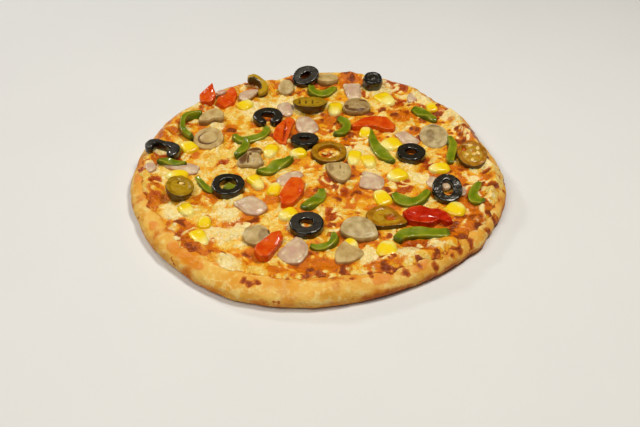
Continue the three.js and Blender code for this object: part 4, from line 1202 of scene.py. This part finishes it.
JALAPENOS = {
    "back": dict(make=jalapeno_strip, widths=(4, 5, 5, 4.5, 4), thickness=6, path=[(-44.5, 80.5, 3),
        (-40, 82.5, 2.5), (-35, 80, 1), (-34, 74.5), (-37, 69.5)]),
    "mid_back": dict(taper=0.25, thickness=5, towards=90, lean=12, lift=1.2, lines=[(-6.4, 0, 0.9, 4.6),
        (-2.6, 0.4, 0.8, 4.4), (1.4, 0.6, 0.8, 4.6), (4.6, 0, 1.8, 0.8)], corners=arc(-5, 57, 11, 9)),
    "center": dict(make=jalapeno_ring, at=(6, 8.8), outer=(10, 10), hole=(6.3, 6.3), thickness=4.5,
        ruddy=0.5, seeds=[(3, -1, 2.2, 30), (1.5, 2.4, 2, 100), (-2.5, 1, 2, 160)]),
    "right": dict(thickness=5, towards=-90, lean=11, lift=1, ruddy=0.8, pits=[(-4, 4.2, 1.3, 2)],
        lines=[(0.6, 2.2, 0.5, 1.6), (3.4, -2.4, 0.5, 2), (-2.6, -3.2, 1.6, 0.5)],
        seeds=[(-0.4, 6.2, 4.8, 20), (3.6, 4.4, 4.8, 70), (-3.2, -0.4, 4.8, 140), (1.2, -0.2, 4.8, 30),
        (-0.4, -4.6, 4.8, 80), (3.4, 0.6, 4.8, 100)], corners=arc(85.5, 5, 8.6, 10)),
    "left": dict(taper=0.25, thickness=6, towards=15, lean=14, lift=0.8, pits=[(0.6, 3.6, 2, 2)],
        seeds=[(0.6, 3.8, 4.9, 20)], corners=arc(-73.5, -26, 7.6, 9.6)),
    "front_right": dict(thickness=4.5, ruddy=0.7, pits=[(2.2, 0.4, 3, 2.6)], lines=[(-2.4, 1.8, 2, 0.7),
        (6.4, -1.4, 1.6, 0.6)], corners=[(24, -46), (28, -40.5), (33, -38.5), (38, -40.5), (42, -46),
        (45.3, -52), (43, -54), (36, -55.3), (30, -55.5), (26, -52.5)]),
}

OLIVES = {
    "back": dict(at=(-8, 88), outer=(9, 7), hole=(3.4, 1.6), thickness=6.5, turn=35, towards=-90, lean=22,
        lift=1.5, matt=0.8),
    "end": dict(make=olive_end, corners=arc(34, 82.5, 6.3, 6), thickness=9.5, towards=-80, lean=14,
        matt=0.7),
    "mid_back": dict(make=open_olive, path=arc(-30, 45, 6.3, 6.3, -72, 258, 9),
        widths=(4.5, 5.5, 5.5, 5.5, 5.5, 4.5), matt=0.3),
    "left": dict(make=open_olive, path=arc(-87.5, 9.3, 7.2, 6, -62, 205, 9), thickness=5,
        widths=(6.5, 6, 5, 5, 4.5), lift=1, matt=0.9),
    "side": dict(at=(-7.8, 21), outer=(8.2, 8.2), hole=(2.8, 2.8), thickness=4.5, towards=90, lean=10,
        lift=0.6, matt=0.6),
    "mid_left": dict(at=(-48, -21.6), outer=(9, 9.2), hole=(4.2, 4.8), matt=0.0),
    "mid_right": dict(at=(52, 8), outer=(8.2, 8.2), hole=(3, 3), matt=0.1),
    "right": dict(at=(68, -26), outer=(8, 9.7), hole=(2.9, 5.4), thickness=5, towards=-90, lean=12,
        lift=1.2, matt=0.1),
    "front": dict(at=(-5.8, -54), outer=(8.8, 8.8), hole=(3.2, 3.2), matt=1.0),
}

# Small slivers that lie in the cheese
ONION_SLIVERS = [
    [(55, 70), (58, 76), (61, 75), (60, 66), (56, 64)],
    [(60, -20), (58, -15), (61, -11), (65, -13), (64, -20)],
    [(-95, 0), (-91, -1), (-89, -5), (-92, -9), (-95, -6)],
    [(76, -20), (78.5, -21), (78, -27), (76, -28)],
]
SLIVER_THICKNESS = 2
PEPPER_SLIVER = dict(twist=0.3, thickness=3, widths=(2, 3.5, 4, 3), path=[
    (-66, -11), (-64, -15.5), (-60, -21.5), (-55, -25.5)])

# Bits in the holes of two olive rings and between two tomatoes: x, y, height, three radii, heading
GREEN_BIT = (-47, -22, 9.4, 2.9, 3.7, 1.5, 70)
PALE_BITS = [(68, -22.6, 10.6, 2.4, 2.4, 1.6, 20), (-60, 68.5, 13, 3.2, 2, 1.3, 35)]

# Each kind: its slot, its pieces, their maker, what they share and their material
KINDS = [
    ("onion", ONIONS, onion, dict(thickness=2.6, sharp=0.3), onion_material()),
    ("pepper", PEPPERS, pepper, dict(thickness=4, point=0.3, blunt=0.7, twist=0.3), pepper_material()),
    ("tomato", TOMATOES, tomato, dict(thickness=4.5, sharp=0.6), tomato_material()),
    ("mushroom", MUSHROOMS, mushroom, {}, mushroom_material()),
    ("jalapeno", JALAPENOS, jalapeno, {}, jalapeno_material()),
    ("olive", OLIVES, olive_ring, dict(thickness=5.5), olive_material()),
]


def bit(x, y, height, reach_x, reach_y, reach_z, heading):
    """A small rounded bit, with the marks that an onion or a pepper has."""
    marks = {name: 0.5 for name in ("rise", "end", "ridge", "share", "along", "across")}
    rows = turned_to(bead((reach_x, reach_y, reach_z), 0.75), heading)
    return rows_form(rows + (x, y, height), **marks)


def dress_toppings():
    """Makes the toppings, and gives the places where they touch the cheese."""
    seed = 100
    seeds = []
    contacts = []
    for slot, pieces, maker, shared, material in KINDS:
        for name, given in pieces.items():
            piece = {**shared, **given}
            form = piece.get("make", maker)(piece, seed)
            add_piece(f"cooked_{slot}_{name}", form, material, slot, f"{slot}_{name}")
            seeds += seeds_of(piece) if "seeds" in piece else []
            contacts.append(touching(form))
            seed += 3
    add_piece("jalapeno_seeds", joined(seeds), seed_material(), "jalapeno")
    return np.concatenate(contacts)


def dress_slivers():
    slivers = [onion(dict(corners=corners, thickness=SLIVER_THICKNESS), 70 + i)
               for i, corners in enumerate(ONION_SLIVERS)]
    pale = joined(slivers + [bit(*place) for place in PALE_BITS])
    add_piece("onion_slivers", pale, bpy.data.materials["cooked_onion"], "cheese", "cheese")
    green = joined([pepper(PEPPER_SLIVER, 80), bit(*GREEN_BIT)])
    add_piece("pepper_slivers", green, bpy.data.materials["green_pepper"], "cheese", "cheese")


def dress_base(contacts):
    add_piece("cooked_crust", crust_form(), crust_material(), "crust", "crust")
    corn = joined([kernel(*place) for place in KERNELS])
    contacts = np.concatenate([contacts, touching(corn)])
    add_piece("cooked_cheese", cheese_form(contacts), cheese_material(), "cheese", "cheese")
    add_piece("cooked_sweetcorn", roughen(corn, 0.3, 5, 90), corn_material(), "cheese", "cheese")


# Stage, light and camera

FLOOR_REACH = 3
FLOOR_DEPTH = 0.0002
WORLD_STRENGTH = 0.035
WORLD_COLOR = (1, 0.93, 0.82)
CAMERA_PLACE = (0.00092, -0.3611, 0.2745)
CAMERA_TILT = 50.16
CAMERA_LENS = 45.4
SENSOR_WIDTH = 36

# Each lamp: its place, its size, its power and its colour
LAMPS = {
    "key": ((0.28, 0.04, 0.76), 0.2, 3.8, (1, 0.93, 0.8)),
    "fill": ((-0.25, -0.32, 0.65), 0.5, 2.6, (1, 0.93, 0.8)),
    "glint": ((-0.42, 0.42, 0.42), 0.1, 1.1, (1, 0.96, 0.9)),
}


def add_floor():
    mesh = bpy.data.meshes.new("floor")
    corners = [(-FLOOR_REACH, -FLOOR_REACH), (FLOOR_REACH, -FLOOR_REACH), (FLOOR_REACH, FLOOR_REACH),
               (-FLOOR_REACH, FLOOR_REACH)]
    mesh.from_pydata([(x, y, -FLOOR_DEPTH) for x, y in corners], [], [(0, 1, 2, 3)])
    floor = bpy.data.objects.new("floor", mesh)
    bpy.context.collection.objects.link(floor)
    shader = Shader("pale_floor", Roughness=0.7, Specular_IOR_Level=0.2)
    shader.set(Base_Color=shader.mix(shader.noise(60, 2), (226, 229, 234), (230, 233, 238)))
    mesh.materials.append(shader.material)


def add_lamp(name, place, size, power, color):
    light = bpy.data.lights.new(name, "AREA")
    light.shape = "DISK"
    light.size = size
    light.energy = power
    light.color = color
    lamp = bpy.data.objects.new(name, light)
    lamp.location = place
    lamp.rotation_euler = Vector(place).to_track_quat("Z", "Y").to_euler()
    bpy.context.collection.objects.link(lamp)


def add_world():
    world = bpy.data.worlds.new("studio")
    bpy.context.scene.world = world
    world.use_nodes = True
    background = world.node_tree.nodes["Background"]
    background.inputs["Color"].default_value = (*WORLD_COLOR, 1)
    background.inputs["Strength"].default_value = WORLD_STRENGTH


def add_camera():
    camera = bpy.data.cameras.new("camera")
    camera.sensor_width = SENSOR_WIDTH
    camera.lens = CAMERA_LENS
    holder = bpy.data.objects.new("camera", camera)
    holder.location = CAMERA_PLACE
    holder.rotation_euler = (np.radians(CAMERA_TILT), 0, 0)
    bpy.context.collection.objects.link(holder)
    bpy.context.scene.camera = holder


dress_base(dress_toppings())
dress_slivers()
add_floor()
add_world()
for name, lamp in LAMPS.items():
    add_lamp(name, *lamp)
add_camera()
bpy.context.scene.view_settings.view_transform = "Standard"
